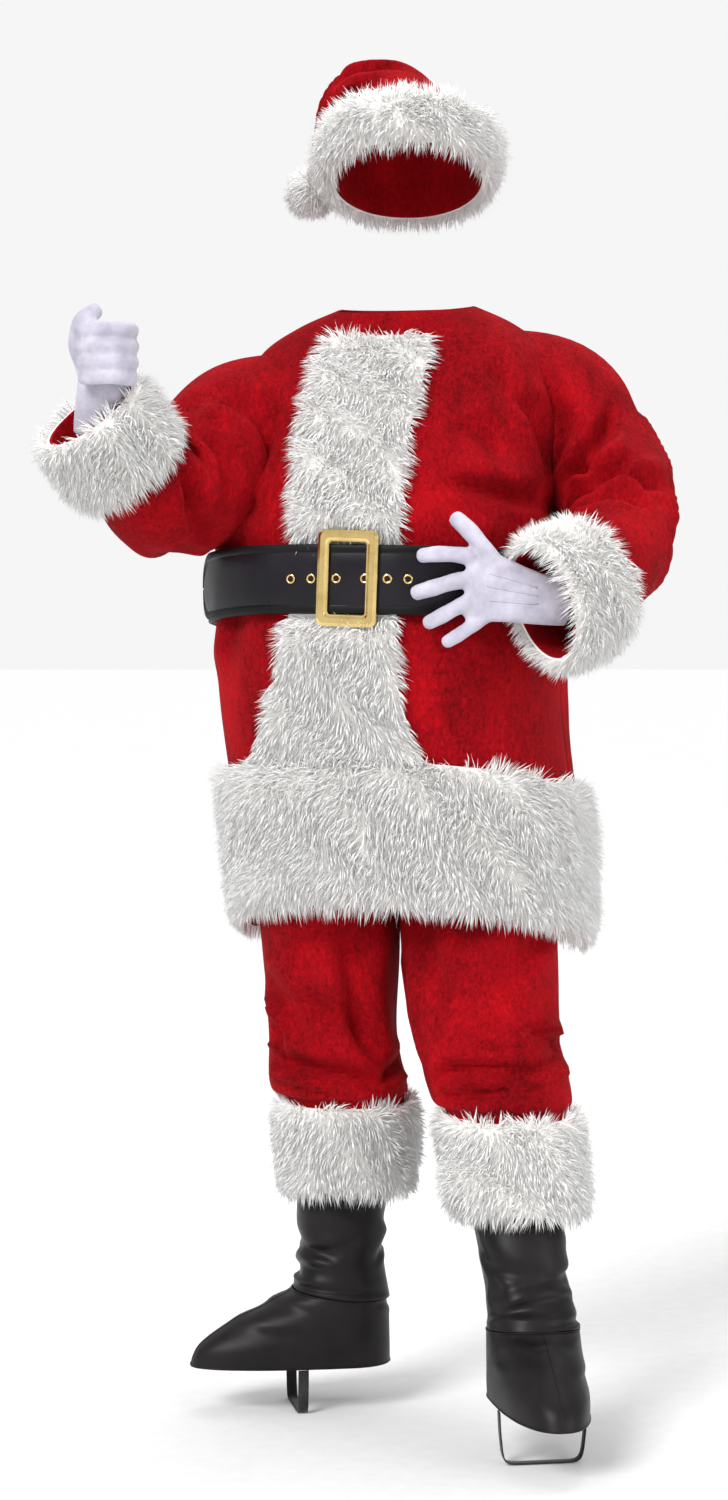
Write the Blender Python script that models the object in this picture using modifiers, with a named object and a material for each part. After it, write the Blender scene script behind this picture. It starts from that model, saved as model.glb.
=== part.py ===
"""A plush Christmas suit, kept in the hollow form and pose that it has when it is worn.

Metres, +Z up. Heights in the tables are above the wearer's soles, and every piece is set down by
HOLD_HEIGHT, so the origin is where the shoulders carry the coat. Right and left are the wearer's:
the wearer's right is at -X, and the front faces -Y, turned a little towards -X.

Cloth is an open surface worked out from rings, thickened outwards by Solidify. A ring is a rounded
section of a tube, and a point on it has an angle: 0 at the front, 90 degrees at the wearer's left.
"""

import math
from collections import namedtuple

import bmesh
import bpy
from mathutils import Matrix, Vector

# Driving sizes.
HOLD_HEIGHT = 1.47
SEAM = 0.0003
PLUSH = 0.0025
KNIT = 0.0015
LEATHERETTE = 0.0018
FUR_REACH = 0.020
CUFF_FUR_REACH = 0.026
EDGE_ROUND = 0.35
EDGE_SHARE = 0.30
SQUARENESS = 2.35
ARM_SQUARENESS = 2.1
BODY_TURN = -18.0
BACK_TILT_SHARE = 0.3
T_STEP = 0.01
ANGLE_STEP = 1.0
SEARCH_STEPS = 40

BELT_HEIGHT = 0.088
BELT_THICKNESS = 0.0032
BELT_BINDING = 0.010
BELT_BINDING_PROUD = 0.0011
BELT_STAND_OFF = 0.0080
BELT_LAYER_STEP = 0.0076
BELT_LEVEL = 1.096
BELT_START = 12.0
BELT_TIP = -427.0
BELT_STEP_FROM = -285.0
BELT_STEP_TO = -338.0
BELT_STEPS = 54
TIP_STEPS = 7

BUCKLE_WIDTH = 0.081
BUCKLE_HEIGHT = 0.124
BUCKLE_BAR = 0.016
BUCKLE_DEPTH = 0.006
BUCKLE_BEVEL = 0.0018
BUCKLE_CORNER = 0.010
BUCKLE_INNER_CORNER = 0.004
BUCKLE_CLEARANCE = 0.0006
BUCKLE_ANGLE = 1.5
BUCKLE_LEAN = -2.0
CORNER_STEPS = 4
BAR_RADIUS = 0.0012
BAR_GAP = 0.0004
EYELET_RADIUS = 0.0062
EYELET_HOLE = 0.0036
EYELET_PROUD = 0.0008
EYELET_SPACING = 0.031
EYELET_SHIFT = 0.005
EYELET_COUNT = 6
EYELET_SIDES = 10

HEM_FUR_TOP = 0.838
HEM_STEPS = 3
BODY_STEPS = 10
COAT_COLUMNS = 8
ARM_COLUMNS = 12
LEG_COLUMNS = 8
HAT_COLUMNS = 16
BOOT_COLUMNS = 14
ARM_STEPS = 6
CUFF_STEPS = 3
RIGHT_CUFF_T = 0.735
LEFT_CUFF_T = 0.77
STRIP_CLEARANCE = 0.0022
STRIP_STEPS = 24
STRIP_COLUMNS = 5
STRIP_ANGLE_SHARE = 0.67
LEG_FUR_T = 1.0 / 9.0
LEG_FUR_STEPS = 3
LEG_STEPS = 7
WAIST_COLUMNS = 24
LEG_FUR_REACH = 0.019
LEG_FUR_DROP = 0.0016
HAT_BAND_T = 0.175
HAT_FUR_REACH = 0.027
HAT_BAND_STEPS = 3
HAT_CROWN_STEPS = 8
POMPOM_RADIUS = 0.036
POMPOM_SEGMENTS = 12
POMPOM_RINGS = 8
ELASTIC = 0.0015
GLOVE_MOUTH = 0.02
PALM_COLUMNS = 8
PALM_STEPS = 5
FINGER_COLUMNS = 7
FINGER_STEPS = 4
CURL_STEPS = 7
ANKLE_SEAM = 0.0018
SHAFT_STEPS = 3
FOOT_STEPS = 4

# Tables. Angles are in degrees and all other columns in metres.
Ring = namedtuple("Ring", "height x y half_width front back turn tilt")
Bend = namedtuple("Bend", "x y z across lift")
Leg = namedtuple("Leg", "height x y half_width front back join")
Strip = namedtuple("Strip", "height middle half_width reach")
Fold = namedtuple("Fold", "from_t from_angle to_t to_angle width depth")
Knot = namedtuple("Knot", "x y z")

COAT_RINGS = (
    Ring(0.645, 0.018, 0.008, 0.224, 0.192, 0.188, BODY_TURN, 15.0),
    Ring(0.745, 0.014, 0.006, 0.225, 0.195, 0.186, BODY_TURN, 14.0),
    Ring(0.840, 0.006, 0.004, 0.228, 0.198, 0.184, BODY_TURN, 13.0),
    Ring(0.950, -0.004, 0.002, 0.229, 0.202, 0.180, BODY_TURN, 10.0),
    Ring(1.045, -0.011, 0.000, 0.228, 0.199, 0.173, BODY_TURN, 7.0),
    Ring(1.145, -0.013, 0.000, 0.227, 0.195, 0.170, BODY_TURN, 5.5),
    Ring(1.225, -0.013, 0.004, 0.223, 0.183, 0.168, BODY_TURN, 4.0),
    Ring(1.305, -0.010, 0.010, 0.216, 0.163, 0.162, BODY_TURN, 2.0),
    Ring(1.372, -0.003, 0.016, 0.208, 0.141, 0.152, BODY_TURN, 0.0),
    Ring(1.424, 0.004, 0.020, 0.186, 0.116, 0.132, BODY_TURN, 0.0),
    Ring(1.458, 0.008, 0.022, 0.142, 0.096, 0.106, BODY_TURN, -3.0),
    Ring(1.482, 0.010, 0.024, 0.090, 0.080, 0.082, BODY_TURN, -8.0),
)
COAT_LENGTH = 0.92
COAT_RADIUS = 0.21

# The raised right arm: shoulder, elbow, then up and forwards to the wrist.
RIGHT_ARM = (
    Bend(-0.110, 0.030, 1.300, 0.098, 0.120),
    Bend(-0.205, 0.012, 1.286, 0.100, 0.122),
    Bend(-0.262, -0.062, 1.254, 0.088, 0.096),
    Bend(-0.307, -0.128, 1.228, 0.076, 0.078),
    Bend(-0.334, -0.165, 1.246, 0.064, 0.065),
    Bend(-0.364, -0.190, 1.285, 0.057, 0.060),
    Bend(-0.396, -0.211, 1.330, 0.058, 0.062),
)
# The left arm, bent so that the hand lies on the belly.
LEFT_ARM = (
    Bend(0.105, 0.030, 1.350, 0.092, 0.100),
    Bend(0.200, 0.016, 1.330, 0.094, 0.108),
    Bend(0.258, -0.012, 1.272, 0.080, 0.084),
    Bend(0.288, -0.062, 1.212, 0.073, 0.076),
    Bend(0.286, -0.122, 1.165, 0.066, 0.071),
    Bend(0.260, -0.190, 1.130, 0.056, 0.064),
    Bend(0.220, -0.232, 1.106, 0.050, 0.068),
    Bend(0.178, -0.266, 1.088, 0.050, 0.070),
)
ARM_LENGTH = 0.42
ARM_RADIUS = 0.085

RIGHT_LEG = (
    Leg(0.303, -0.069, 0.012, 0.0735, 0.075, 0.075, 0.0),
    Leg(0.416, -0.072, 0.012, 0.0765, 0.079, 0.079, 0.0),
    Leg(0.438, -0.081, 0.010, 0.0900, 0.094, 0.092, 0.0),
    Leg(0.510, -0.087, 0.008, 0.0840, 0.092, 0.092, 0.0),
    Leg(0.600, -0.093, 0.006, 0.0890, 0.100, 0.102, 0.0),
    Leg(0.680, -0.097, 0.006, 0.0930, 0.112, 0.112, 0.0),
    Leg(0.750, -0.098, 0.006, 0.0960, 0.124, 0.118, 0.30),
    Leg(0.820, -0.098, 0.004, 0.0970, 0.134, 0.120, 0.85),
    Leg(0.920, -0.095, 0.002, 0.0945, 0.140, 0.118, 1.0),
    Leg(1.020, -0.088, 0.000, 0.0875, 0.136, 0.110, 1.0),
)
LEFT_LEG = (
    Leg(0.305, 0.150, -0.177, 0.0735, 0.075, 0.075, 0.0),
    Leg(0.420, 0.141, -0.140, 0.0765, 0.079, 0.079, 0.0),
    Leg(0.442, 0.131, -0.128, 0.0900, 0.094, 0.092, 0.0),
    Leg(0.512, 0.115, -0.098, 0.0940, 0.094, 0.094, 0.0),
    Leg(0.600, 0.109, -0.064, 0.0990, 0.102, 0.102, 0.0),
    Leg(0.680, 0.105, -0.036, 0.1000, 0.112, 0.112, 0.0),
    Leg(0.750, 0.102, -0.016, 0.0990, 0.122, 0.116, 0.30),
    Leg(0.820, 0.099, -0.004, 0.0970, 0.132, 0.116, 0.85),
    Leg(0.920, 0.095, 0.000, 0.0945, 0.140, 0.118, 1.0),
    Leg(1.020, 0.088, 0.000, 0.0875, 0.136, 0.110, 1.0),
)
WAISTBAND_HEIGHT = 0.038

# Boot covers: a shaft, and a foot piece that widens from the ankle to the toe. The front column of
# a foot ring is its reach towards the toe.
RIGHT_BOOT_SHAFT = (
    Ring(0.200, -0.079, 0.010, 0.054, 0.056, 0.056, -80.0, 0.0),
    Ring(0.260, -0.076, 0.010, 0.055, 0.058, 0.057, -80.0, 0.0),
    Ring(0.370, -0.074, 0.010, 0.062, 0.066, 0.062, -80.0, 0.0),
)
RIGHT_BOOT_FOOT = (
    Ring(0.062, -0.078, 0.010, 0.054, 0.206, 0.062, -80.0, 0.0),
    Ring(0.082, -0.078, 0.010, 0.056, 0.194, 0.062, -80.0, 2.0),
    Ring(0.105, -0.078, 0.010, 0.057, 0.152, 0.062, -80.0, 5.0),
    Ring(0.128, -0.078, 0.010, 0.058, 0.104, 0.062, -80.0, 8.0),
    Ring(0.152, -0.078, 0.010, 0.060, 0.066, 0.061, -80.0, 8.0),
)
LEFT_BOOT_SHAFT = (
    Ring(0.206, 0.162, -0.222, 0.052, 0.055, 0.056, 9.0, 0.0),
    Ring(0.266, 0.154, -0.200, 0.055, 0.057, 0.058, 9.0, 0.0),
    Ring(0.375, 0.144, -0.150, 0.063, 0.062, 0.063, 9.0, 0.0),
)
LEFT_BOOT_FOOT = (
    Ring(0.070, 0.168, -0.238, 0.056, 0.186, 0.062, 9.0, 0.0),
    Ring(0.090, 0.168, -0.238, 0.057, 0.174, 0.062, 9.0, 2.0),
    Ring(0.112, 0.168, -0.238, 0.057, 0.138, 0.062, 9.0, 5.0),
    Ring(0.135, 0.168, -0.238, 0.057, 0.098, 0.062, 9.0, 8.0),
    Ring(0.158, 0.168, -0.238, 0.057, 0.063, 0.061, 9.0, 8.0),
)
STIRRUP_WIDTH = 0.014
STIRRUP_REACH = 0.054
# One side of a stirrup: how far in from the cover's edge, and the share of the edge's height.
Turn = namedtuple("Turn", "inward height_share")
STIRRUP_SIDE = (Turn(0.0, 1.0), Turn(0.002, 0.50), Turn(0.008, 0.09), Turn(0.028, 0.034))

HAT_CROWN = (
    Bend(0.012, 0.014, 1.650, 0.096, 0.112),
    Bend(0.012, 0.033, 1.704, 0.098, 0.110),
    Bend(0.010, 0.048, 1.740, 0.056, 0.075),
    Bend(-0.010, 0.068, 1.775, 0.034, 0.048),
    Bend(-0.048, 0.092, 1.784, 0.028, 0.036),
    Bend(-0.077, 0.114, 1.761, 0.026, 0.030),
    Bend(-0.095, 0.128, 1.722, 0.021, 0.023),
    Bend(-0.106, 0.134, 1.685, 0.014, 0.015),
)
POMPOM_CENTRE = (-0.120, 0.137, 1.649)

FUR_STRIP = (
    Strip(0.8410, -11.5, 0.146, 0.020),
    Strip(0.8700, -9.0, 0.122, 0.020),
    Strip(0.9250, -6.0, 0.098, 0.019),
    Strip(1.0080, -2.5, 0.082, 0.016),
    Strip(1.0420, -1.5, 0.078, 0.0020),
    Strip(1.0500, -1.0, 0.077, 0.0020),
    Strip(1.1420, 0.5, 0.073, 0.0020),
    Strip(1.1480, 0.5, 0.073, 0.0020),
    Strip(1.1800, 0.5, 0.072, 0.016),
    Strip(1.2600, 0.0, 0.070, 0.019),
    Strip(1.3400, 0.0, 0.067, 0.019),
    Strip(1.4000, 0.0, 0.061, 0.017),
    Strip(1.4380, 0.0, 0.052, 0.013),
)

# The largest folds: troughs have a negative depth, ridges a positive one.
COAT_FOLDS = (
    Fold(0.58, 52.0, 0.74, 60.0, 0.028, -0.012),
    Fold(0.50, 20.0, 0.52, 58.0, 0.030, -0.007),
    Fold(0.60, -48.0, 0.70, -34.0, 0.026, -0.006),
    Fold(0.60, 120.0, 0.74, 135.0, 0.030, -0.010),
    Fold(0.60, -120.0, 0.74, -135.0, 0.030, -0.010),
)
RIGHT_ARM_FOLDS = (
    Fold(0.24, 40.0, 0.42, 70.0, 0.022, -0.010),
    Fold(0.30, -60.0, 0.46, -20.0, 0.022, -0.010),
    Fold(0.44, 150.0, 0.50, 210.0, 0.024, -0.010),
)
LEFT_ARM_FOLDS = (
    Fold(0.20, -30.0, 0.40, -75.0, 0.022, -0.010),
    Fold(0.42, -110.0, 0.50, -40.0, 0.020, -0.010),
    Fold(0.52, 60.0, 0.60, 120.0, 0.022, -0.008),
)

Palm = namedtuple("Palm", "x y z across lift")
Finger = namedtuple("Finger", "name radius points")

# The left glove lies on the belly, its back to the front, the thumb up.
LEFT_PALM = (
    Palm(0.208, -0.246, 1.092, 0.019, 0.033),
    Palm(0.180, -0.257, 1.092, 0.018, 0.032),
    Palm(0.150, -0.261, 1.098, 0.017, 0.036),
    Palm(0.112, -0.256, 1.107, 0.016, 0.043),
    Palm(0.080, -0.254, 1.109, 0.011, 0.040),
)
LEFT_FINGERS = (
    Finger("thumb", 0.0118, ((0.136, -0.258, 1.112), (0.110, -0.257, 1.148), (0.086, -0.254, 1.178),
                             (0.063, -0.246, 1.200))),
    Finger("index", 0.0108, ((0.110, -0.250, 1.140), (0.078, -0.258, 1.148), (0.046, -0.258, 1.150),
                             (0.018, -0.254, 1.147))),
    Finger("middle", 0.0110, ((0.105, -0.252, 1.120), (0.070, -0.259, 1.116), (0.038, -0.260, 1.107),
                              (0.011, -0.256, 1.099))),
    Finger("ring", 0.0104, ((0.108, -0.251, 1.098), (0.078, -0.257, 1.087), (0.050, -0.257, 1.072),
                            (0.027, -0.253, 1.060))),
    Finger("little", 0.0094, ((0.118, -0.249, 1.080), (0.092, -0.254, 1.062), (0.070, -0.254, 1.047),
                              (0.051, -0.250, 1.036))),
)
# The right glove is closed, as round a thin handle.
RIGHT_PALM = (
    Palm(-0.390, -0.216, 1.304, 0.028, 0.021),
    Palm(-0.389, -0.230, 1.330, 0.026, 0.019),
    Palm(-0.380, -0.243, 1.358, 0.031, 0.019),
    Palm(-0.372, -0.248, 1.396, 0.034, 0.018),
    Palm(-0.368, -0.250, 1.434, 0.029, 0.015),
)
CURL_CENTRE = (-0.369, -0.274)
CURL_WIDTH = 0.029
CURL_DEPTH = 0.028
CURL_FROM = 125.0
CURL_TO = -115.0
Curl = namedtuple("Curl", "name height radius")
RIGHT_CURLS = (
    Curl("index", 1.429, 0.0110),
    Curl("middle", 1.409, 0.0113),
    Curl("ring", 1.389, 0.0110),
    Curl("little", 1.370, 0.0100),
)
RIGHT_THUMB = Finger(
    "thumb", 0.0118, ((-0.398, -0.246, 1.378), (-0.408, -0.262, 1.412), (-0.400, -0.284, 1.440),
                      (-0.376, -0.292, 1.456)))
FINGER_HINT = (0.31, -0.22, 0.93)
FINGER_TAPER = (1.0, 1.0, 0.95, 0.86, 0.55)

COLOURS = {
    "plush": ((0.46, 0.006, 0.011, 1.0), 0.85, 0.0),
    "fur": ((0.88, 0.86, 0.82, 1.0), 0.95, 0.0),
    "belt": ((0.012, 0.010, 0.014, 1.0), 0.42, 0.0),
    "gold": ((0.83, 0.61, 0.24, 1.0), 0.22, 1.0),
    "boot": ((0.022, 0.018, 0.020, 1.0), 0.50, 0.0),
    "glove": ((0.80, 0.77, 0.84, 1.0), 0.80, 0.0),
    "elastic": ((0.02, 0.02, 0.02, 1.0), 0.80, 0.0),
}


class Section:
    """A rounded section of a tube. Its back half may lie in another plane than its front half."""

    def __init__(self, centre, side, forward, sizes, squareness=SQUARENESS, backward=None):
        self.centre = centre
        self.side = side
        self.forward = forward
        self.backward = backward or -forward
        self.up = Vector((0, 0, 1)) if backward else forward.cross(side)
        self.half_width, self.front, self.back = sizes
        self.power = 2.0 / squareness

    def point(self, angle, out=0.0, up=0.0):
        """The point at an angle in degrees, moved outwards and along the tube."""
        sine = math.sin(math.radians(angle))
        cosine = math.cos(math.radians(angle))
        along_side = math.copysign(abs(sine) ** self.power, sine) * (self.half_width + out)
        if cosine >= 0.0:
            reach = self.forward * (cosine ** self.power * (self.front + out))
        else:
            reach = self.backward * ((-cosine) ** self.power * (self.back + out))
        return self.centre + self.side * along_side + reach + self.up * up


def row_at(rows, t):
    """The row at t, from 0 to 1 along a table: each column follows a smooth curve through the rows."""
    span = min(max(t, 0.0), 1.0) * (len(rows) - 1)
    first = min(int(span), len(rows) - 2)
    part = span - first
    near = [rows[min(max(first + k, 0), len(rows) - 1)] for k in (-1, 0, 1, 2)]
    values = []
    for before, start, end, after in zip(*near):
        slope_in = (end - before) / 2.0
        slope_out = (after - start) / 2.0
        values.append(
            start * (2 * part**3 - 3 * part**2 + 1)
            + slope_in * (part**3 - 2 * part**2 + part)
            + end * (3 * part**2 - 2 * part**3)
            + slope_out * (part**3 - part**2)
        )
    return type(rows[0])(*values)


class Tube:
    """A tube of cloth, with its folds. Each kind of tube says where its sections stand."""

    def __init__(self, rows, folds=(), length=1.0, radius=1.0):
        self.rows = rows
        self.folds = folds
        self.length = length
        self.radius = radius

    def section(self, t):
        """The section at t, from 0 to 1 along the tube."""
        raise NotImplementedError

    def fold_depth(self, t, angle):
        """How far the folds move the cloth out at a place on the tube."""
        total = 0.0
        for fold in self.folds:
            start = Vector((fold.from_t * self.length, math.radians(fold.from_angle) * self.radius))
            end = Vector((fold.to_t * self.length, math.radians(fold.to_angle) * self.radius))
            place = Vector((t * self.length, math.radians(angle) * self.radius))
            run = end - start
            along = min(max((place - start).dot(run) / run.length_squared, 0.0), 1.0)
            distance = (place - start - run * along).length
            total += fold.depth * math.exp(-((distance / fold.width) ** 2))
        return total

    def point(self, t, angle, out=0.0, up=0.0):
        """A point of the cloth's inner face, moved outwards."""
        wrapped = (angle + 180.0) % 360.0 - 180.0
        return self.section(t).point(angle, out + self.fold_depth(t, wrapped), up)

    def t_at(self, height):
        """The t whose row has this height."""
        low, high = 0.0, 1.0
        for _ in range(SEARCH_STEPS):
            middle = (low + high) / 2.0
            if row_at(self.rows, middle).height < height:
                low = middle
            else:
                high = middle
        return low


class StandingTube(Tube):
    """Rings stacked upwards, each turned about Z and tilted up at its front."""

    def section(self, t):
        row = row_at(self.rows, t)
        turned = Matrix.Rotation(math.radians(row.turn), 3, "Z")
        tilted = turned @ Matrix.Rotation(math.radians(-row.tilt), 3, "X")
        settled = turned @ Matrix.Rotation(math.radians(-row.tilt * BACK_TILT_SHARE), 3, "X")
        centre = Vector((row.x, row.y, row.height))
        sizes = (row.half_width, row.front, row.back)
        side = turned @ Vector((1, 0, 0))
        forward = tilted @ Vector((0, -1, 0))
        return Section(centre, side, forward, sizes, backward=settled @ Vector((0, 1, 0)))


class BentTube(Tube):
    """Sections square to a bent path. Angle 0 is on the side that the hint points to."""

    def __init__(self, rows, hint, folds=(), length=1.0, radius=1.0):
        super().__init__(rows, folds, length, radius)
        self.hint = Vector(hint)

    def section(self, t):
        row = row_at(self.rows, t)
        ahead = row_at(self.rows, t + T_STEP)
        behind = row_at(self.rows, t - T_STEP)
        run = Vector(ahead[:3]) - Vector(behind[:3])
        run.normalize()
        lift = self.hint - run * self.hint.dot(run)
        lift.normalize()
        side = lift.cross(run) * -1.0
        sizes = (row.across, row.lift, row.lift)
        return Section(Vector(row[:3]), side, lift, sizes, ARM_SQUARENESS)


class LegTube(Tube):
    """One trouser leg. Its `join` column opens the inner side into a hip shared with the other leg."""

    def __init__(self, rows, outer_side):
        super().__init__(rows, radius=rows[0].half_width)
        self.outer_side = outer_side

    def point(self, t, angle, out=0.0, up=0.0):
        """Angles run from 0 at the outer seam over the front (90) or the back (-90) to the inner."""
        row = row_at(self.rows, t)
        join = min(max(row.join, 0.0), 1.0)
        across = math.cos(math.radians(angle))
        depth = row.front if angle >= 0.0 else row.back
        bow = abs(math.sin(math.radians(angle))) ** (2.0 / SQUARENESS)
        outward = self.outer_side * row.x
        if across < 0.0:
            bow = join + (1.0 - join) * bow
            inner_reach = row.half_width + out * (1.0 - join)
            outward -= abs(across) ** (2.0 / SQUARENESS) * inner_reach
            if join > 0.0:
                outward = max(outward, SEAM / 2.0 + (PLUSH + SEAM) * (1.0 - join))
        else:
            outward += across ** (2.0 / SQUARENESS) * (row.half_width + out)
        reach = math.copysign(bow * (depth + out), angle)
        return Vector((self.outer_side * outward, row.y - reach, row.height + up))


def spread(first, last, count):
    """`count` + 1 even values from first to last."""
    return [first + (last - first) * k / count for k in range(count + 1)]


def grid_mesh(name, rows, wrap=False, caps=False, ring=False):
    """A mesh through rows of points, in triangles split alike, so that layers over one surface match.

    `wrap` joins each row's ends, and `ring` joins the last row to the first.
    """
    made = bmesh.new()
    grid = [[made.verts.new(point) for point in row] for row in rows]
    following = grid[1:] + ([grid[0]] if ring else [])
    for low, high in zip(grid, following):
        width = len(low)
        for k in range(width if wrap else width - 1):
            after = (k + 1) % width
            made.faces.new((low[k], low[after], high[after]))
            made.faces.new((low[k], high[after], high[k]))
    if caps:
        made.faces.new(list(reversed(grid[0])))
        made.faces.new(grid[-1])
    if caps or ring:
        bmesh.ops.recalc_face_normals(made, faces=made.faces)
    mesh = bpy.data.meshes.new(name)
    made.to_mesh(mesh)
    made.free()
    return mesh


def material(finish):
    """The finish's material, made at its first use."""
    found = bpy.data.materials.get(finish)
    if found:
        return found
    colour, roughness, metallic = COLOURS[finish]
    made = bpy.data.materials.new(finish)
    made.use_nodes = True
    shader = made.node_tree.nodes["Principled BSDF"]
    shader.inputs["Base Color"].default_value = colour
    shader.inputs["Roughness"].default_value = roughness
    shader.inputs["Metallic"].default_value = metallic
    made.diffuse_color = colour
    return made


def place(name, mesh, finish, collection):
    """An object of the mesh, set down so that the origin is where the shoulders carry the coat."""
    piece = bpy.data.objects.new(name, mesh)
    piece.location = (0.0, 0.0, -HOLD_HEIGHT)
    collection.objects.link(piece)
    if finish:
        mesh.materials.append(material(finish))
    mesh.shade_smooth()
    return piece


def cutter(name, mesh, cutters):
    """A helper that only cuts."""
    helper = place(name, mesh, None, cutters)
    helper.hide_render = True
    helper.display_type = "WIRE"
    return helper


def thicken(piece, wall):
    """Gives an open surface its wall, outwards."""
    solidify = piece.modifiers.new("wall", "SOLIDIFY")
    solidify.thickness = wall
    solidify.offset = 1.0
    solidify.use_even_offset = False


def cut(piece, tool, operation="DIFFERENCE"):
    """Cuts a piece by a helper, or joins the helper to it."""
    boolean = piece.modifiers.new(tool.name, "BOOLEAN")
    boolean.object = tool
    boolean.operation = operation
    boolean.solver = "EXACT"


def pulled_in(row):
    """A row of points whose two ends are drawn in by half a seam's gap."""
    first = row[0] + (row[1] - row[0]).normalized() * (SEAM / 2.0)
    last = row[-1] + (row[-2] - row[-1]).normalized() * (SEAM / 2.0)
    return [first, *row[1:-1], last]


def panel(name, tube, levels, angles, wall, finish, suit):
    """A cloth panel between two seams."""
    rows = [pulled_in([tube.point(t, angle) for angle in angles]) for t in levels]
    piece = place(name, grid_mesh(name, rows), finish, suit)
    thicken(piece, wall)
    return piece


def sleeve_tube(name, tube, levels, angles, wall, finish, suit):
    """A tube of cloth with no cut in it, seamed along one side."""
    rows = [[tube.point(t, angle) for angle in angles] for t in levels]
    piece = place(name, grid_mesh(name, rows, wrap=True), finish, suit)
    thicken(piece, wall)
    return piece


def volume(name, tube, levels, angles, out, cutters):
    """All that a tube holds, with its wall, as one closed helper."""
    rows = [[tube.point(t, angle, out) for angle in angles] for t in levels]
    return cutter(name, grid_mesh(name, rows, wrap=True, caps=True), cutters)


def rounded_reach(part, reach, inner):
    """The outer face of a trim at `part`, 0 to 1 across it: full in the middle, rounded at both edges."""
    edge = min(part, 1.0 - part) / EDGE_ROUND
    rise = math.sqrt(max(1.0 - (1.0 - min(edge, 1.0)) ** 2, 0.0))
    return inner + reach * (EDGE_SHARE + (1.0 - EDGE_SHARE) * rise)


def fur_ring(name, tube, levels, angles, reach, suit, drop=0.0):
    """A fur trim all round a tube, made from the tube's own points moved out. `drop` lowers its top edge."""
    inner = PLUSH + 2 * SEAM
    rows = []
    for angle in angles:
        inner_face = []
        outer_face = []
        for k, t in enumerate(levels):
            part = k / (len(levels) - 1)
            up = -drop if t == levels[-1] else 0.0
            inner_face.append(tube.point(t, angle, inner, up))
            outer_face.append(tube.point(t, angle, rounded_reach(part, reach, inner), up))
        rows.append(inner_face + outer_face[::-1])
    mesh = grid_mesh(name, rows, wrap=True, ring=True)
    return place(name, mesh, "fur", suit)


def even_angles(count, start=-180.0):
    """Angles all round, in degrees."""
    return [start + 360.0 * k / count for k in range(count)]


def clear_scene():
    """Removes the startup objects."""
    for thing in list(bpy.data.objects):
        bpy.data.objects.remove(thing, do_unlink=True)


def new_collection(name):
    """A collection under the scene's own."""
    made = bpy.data.collections.new(name)
    bpy.context.scene.collection.children.link(made)
    return made


def make_coat(coat, suit, cutters):
    """The coat: back, two fronts, two sleeves and the fur trims."""
    right_arm = BentTube(RIGHT_ARM, (0, 0, 1), RIGHT_ARM_FOLDS, ARM_LENGTH, ARM_RADIUS)
    left_arm = BentTube(LEFT_ARM, (0, 0, 1), LEFT_ARM_FOLDS, ARM_LENGTH, ARM_RADIUS)
    hem_top = coat.t_at(HEM_FUR_TOP)
    levels = spread(0.0, hem_top, HEM_STEPS)[:-1] + spread(hem_top, 1.0, BODY_STEPS)
    side = COAT_COLUMNS
    right_front = panel("coat_front_right", coat, levels, spread(-90, 0, side), PLUSH, "plush", suit)
    left_front = panel("coat_front_left", coat, levels, spread(0, 90, side), PLUSH, "plush", suit)
    back = panel("coat_back", coat, levels, spread(90, 270, 2 * side), PLUSH, "plush", suit)
    around = even_angles(4 * side)
    body = volume("coat_body_volume", coat, levels, around, PLUSH + 3 * SEAM, cutters)
    hem_levels = spread(0.0, hem_top, HEM_STEPS)
    fur_ring("coat_hem_fur", coat, hem_levels, around, FUR_REACH, suit)
    make_front_fur(coat, suit)

    around = even_angles(ARM_COLUMNS)
    for side, arm, front, cuff in (
        ("right", right_arm, right_front, RIGHT_CUFF_T),
        ("left", left_arm, left_front, LEFT_CUFF_T),
    ):
        cuff_levels = spread(cuff, 1.0, CUFF_STEPS)
        levels = spread(0.0, cuff, ARM_STEPS)[:-1] + cuff_levels
        sleeve = sleeve_tube(f"coat_sleeve_{side}", arm, levels, around, PLUSH, "plush", suit)
        filled = volume(f"sleeve_volume_{side}", arm, levels, around, PLUSH + 3 * SEAM, cutters)
        cut(sleeve, body)
        cut(front, filled)
        cut(back, filled)
        fur_ring(f"coat_cuff_fur_{side}", arm, cuff_levels, around, CUFF_FUR_REACH, suit)


def make_front_fur(coat, suit):
    """The fur strip that covers the front opening and widens down to the hem."""
    lift = PLUSH + STRIP_CLEARANCE
    rows = []
    for t in spread(0.0, 1.0, STRIP_STEPS):
        strip = row_at(FUR_STRIP, t)
        level = coat.t_at(strip.height)
        spread_angle = math.degrees(strip.half_width / coat.section(level).front) * STRIP_ANGLE_SHARE
        angles = spread(strip.middle - spread_angle, strip.middle + spread_angle, STRIP_COLUMNS)
        inner = [coat.point(level, angle, lift) for angle in angles]
        outer = []
        for k, angle in enumerate(angles):
            outer.append(coat.point(level, angle, rounded_reach(k / STRIP_COLUMNS, strip.reach, lift)))
        rows.append(inner + outer[::-1])
    place("coat_front_fur", grid_mesh("coat_front_fur", rows, wrap=True, caps=True), "fur", suit)


def belt_layer(angle):
    """How far off the coat's inner face the strap's back lies: it steps out to pass over its own start."""
    part = min(max((BELT_STEP_FROM - angle) / (BELT_STEP_FROM - BELT_STEP_TO), 0.0), 1.0)
    return BELT_STAND_OFF + BELT_LAYER_STEP * part * part * (3.0 - 2.0 * part)


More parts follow.
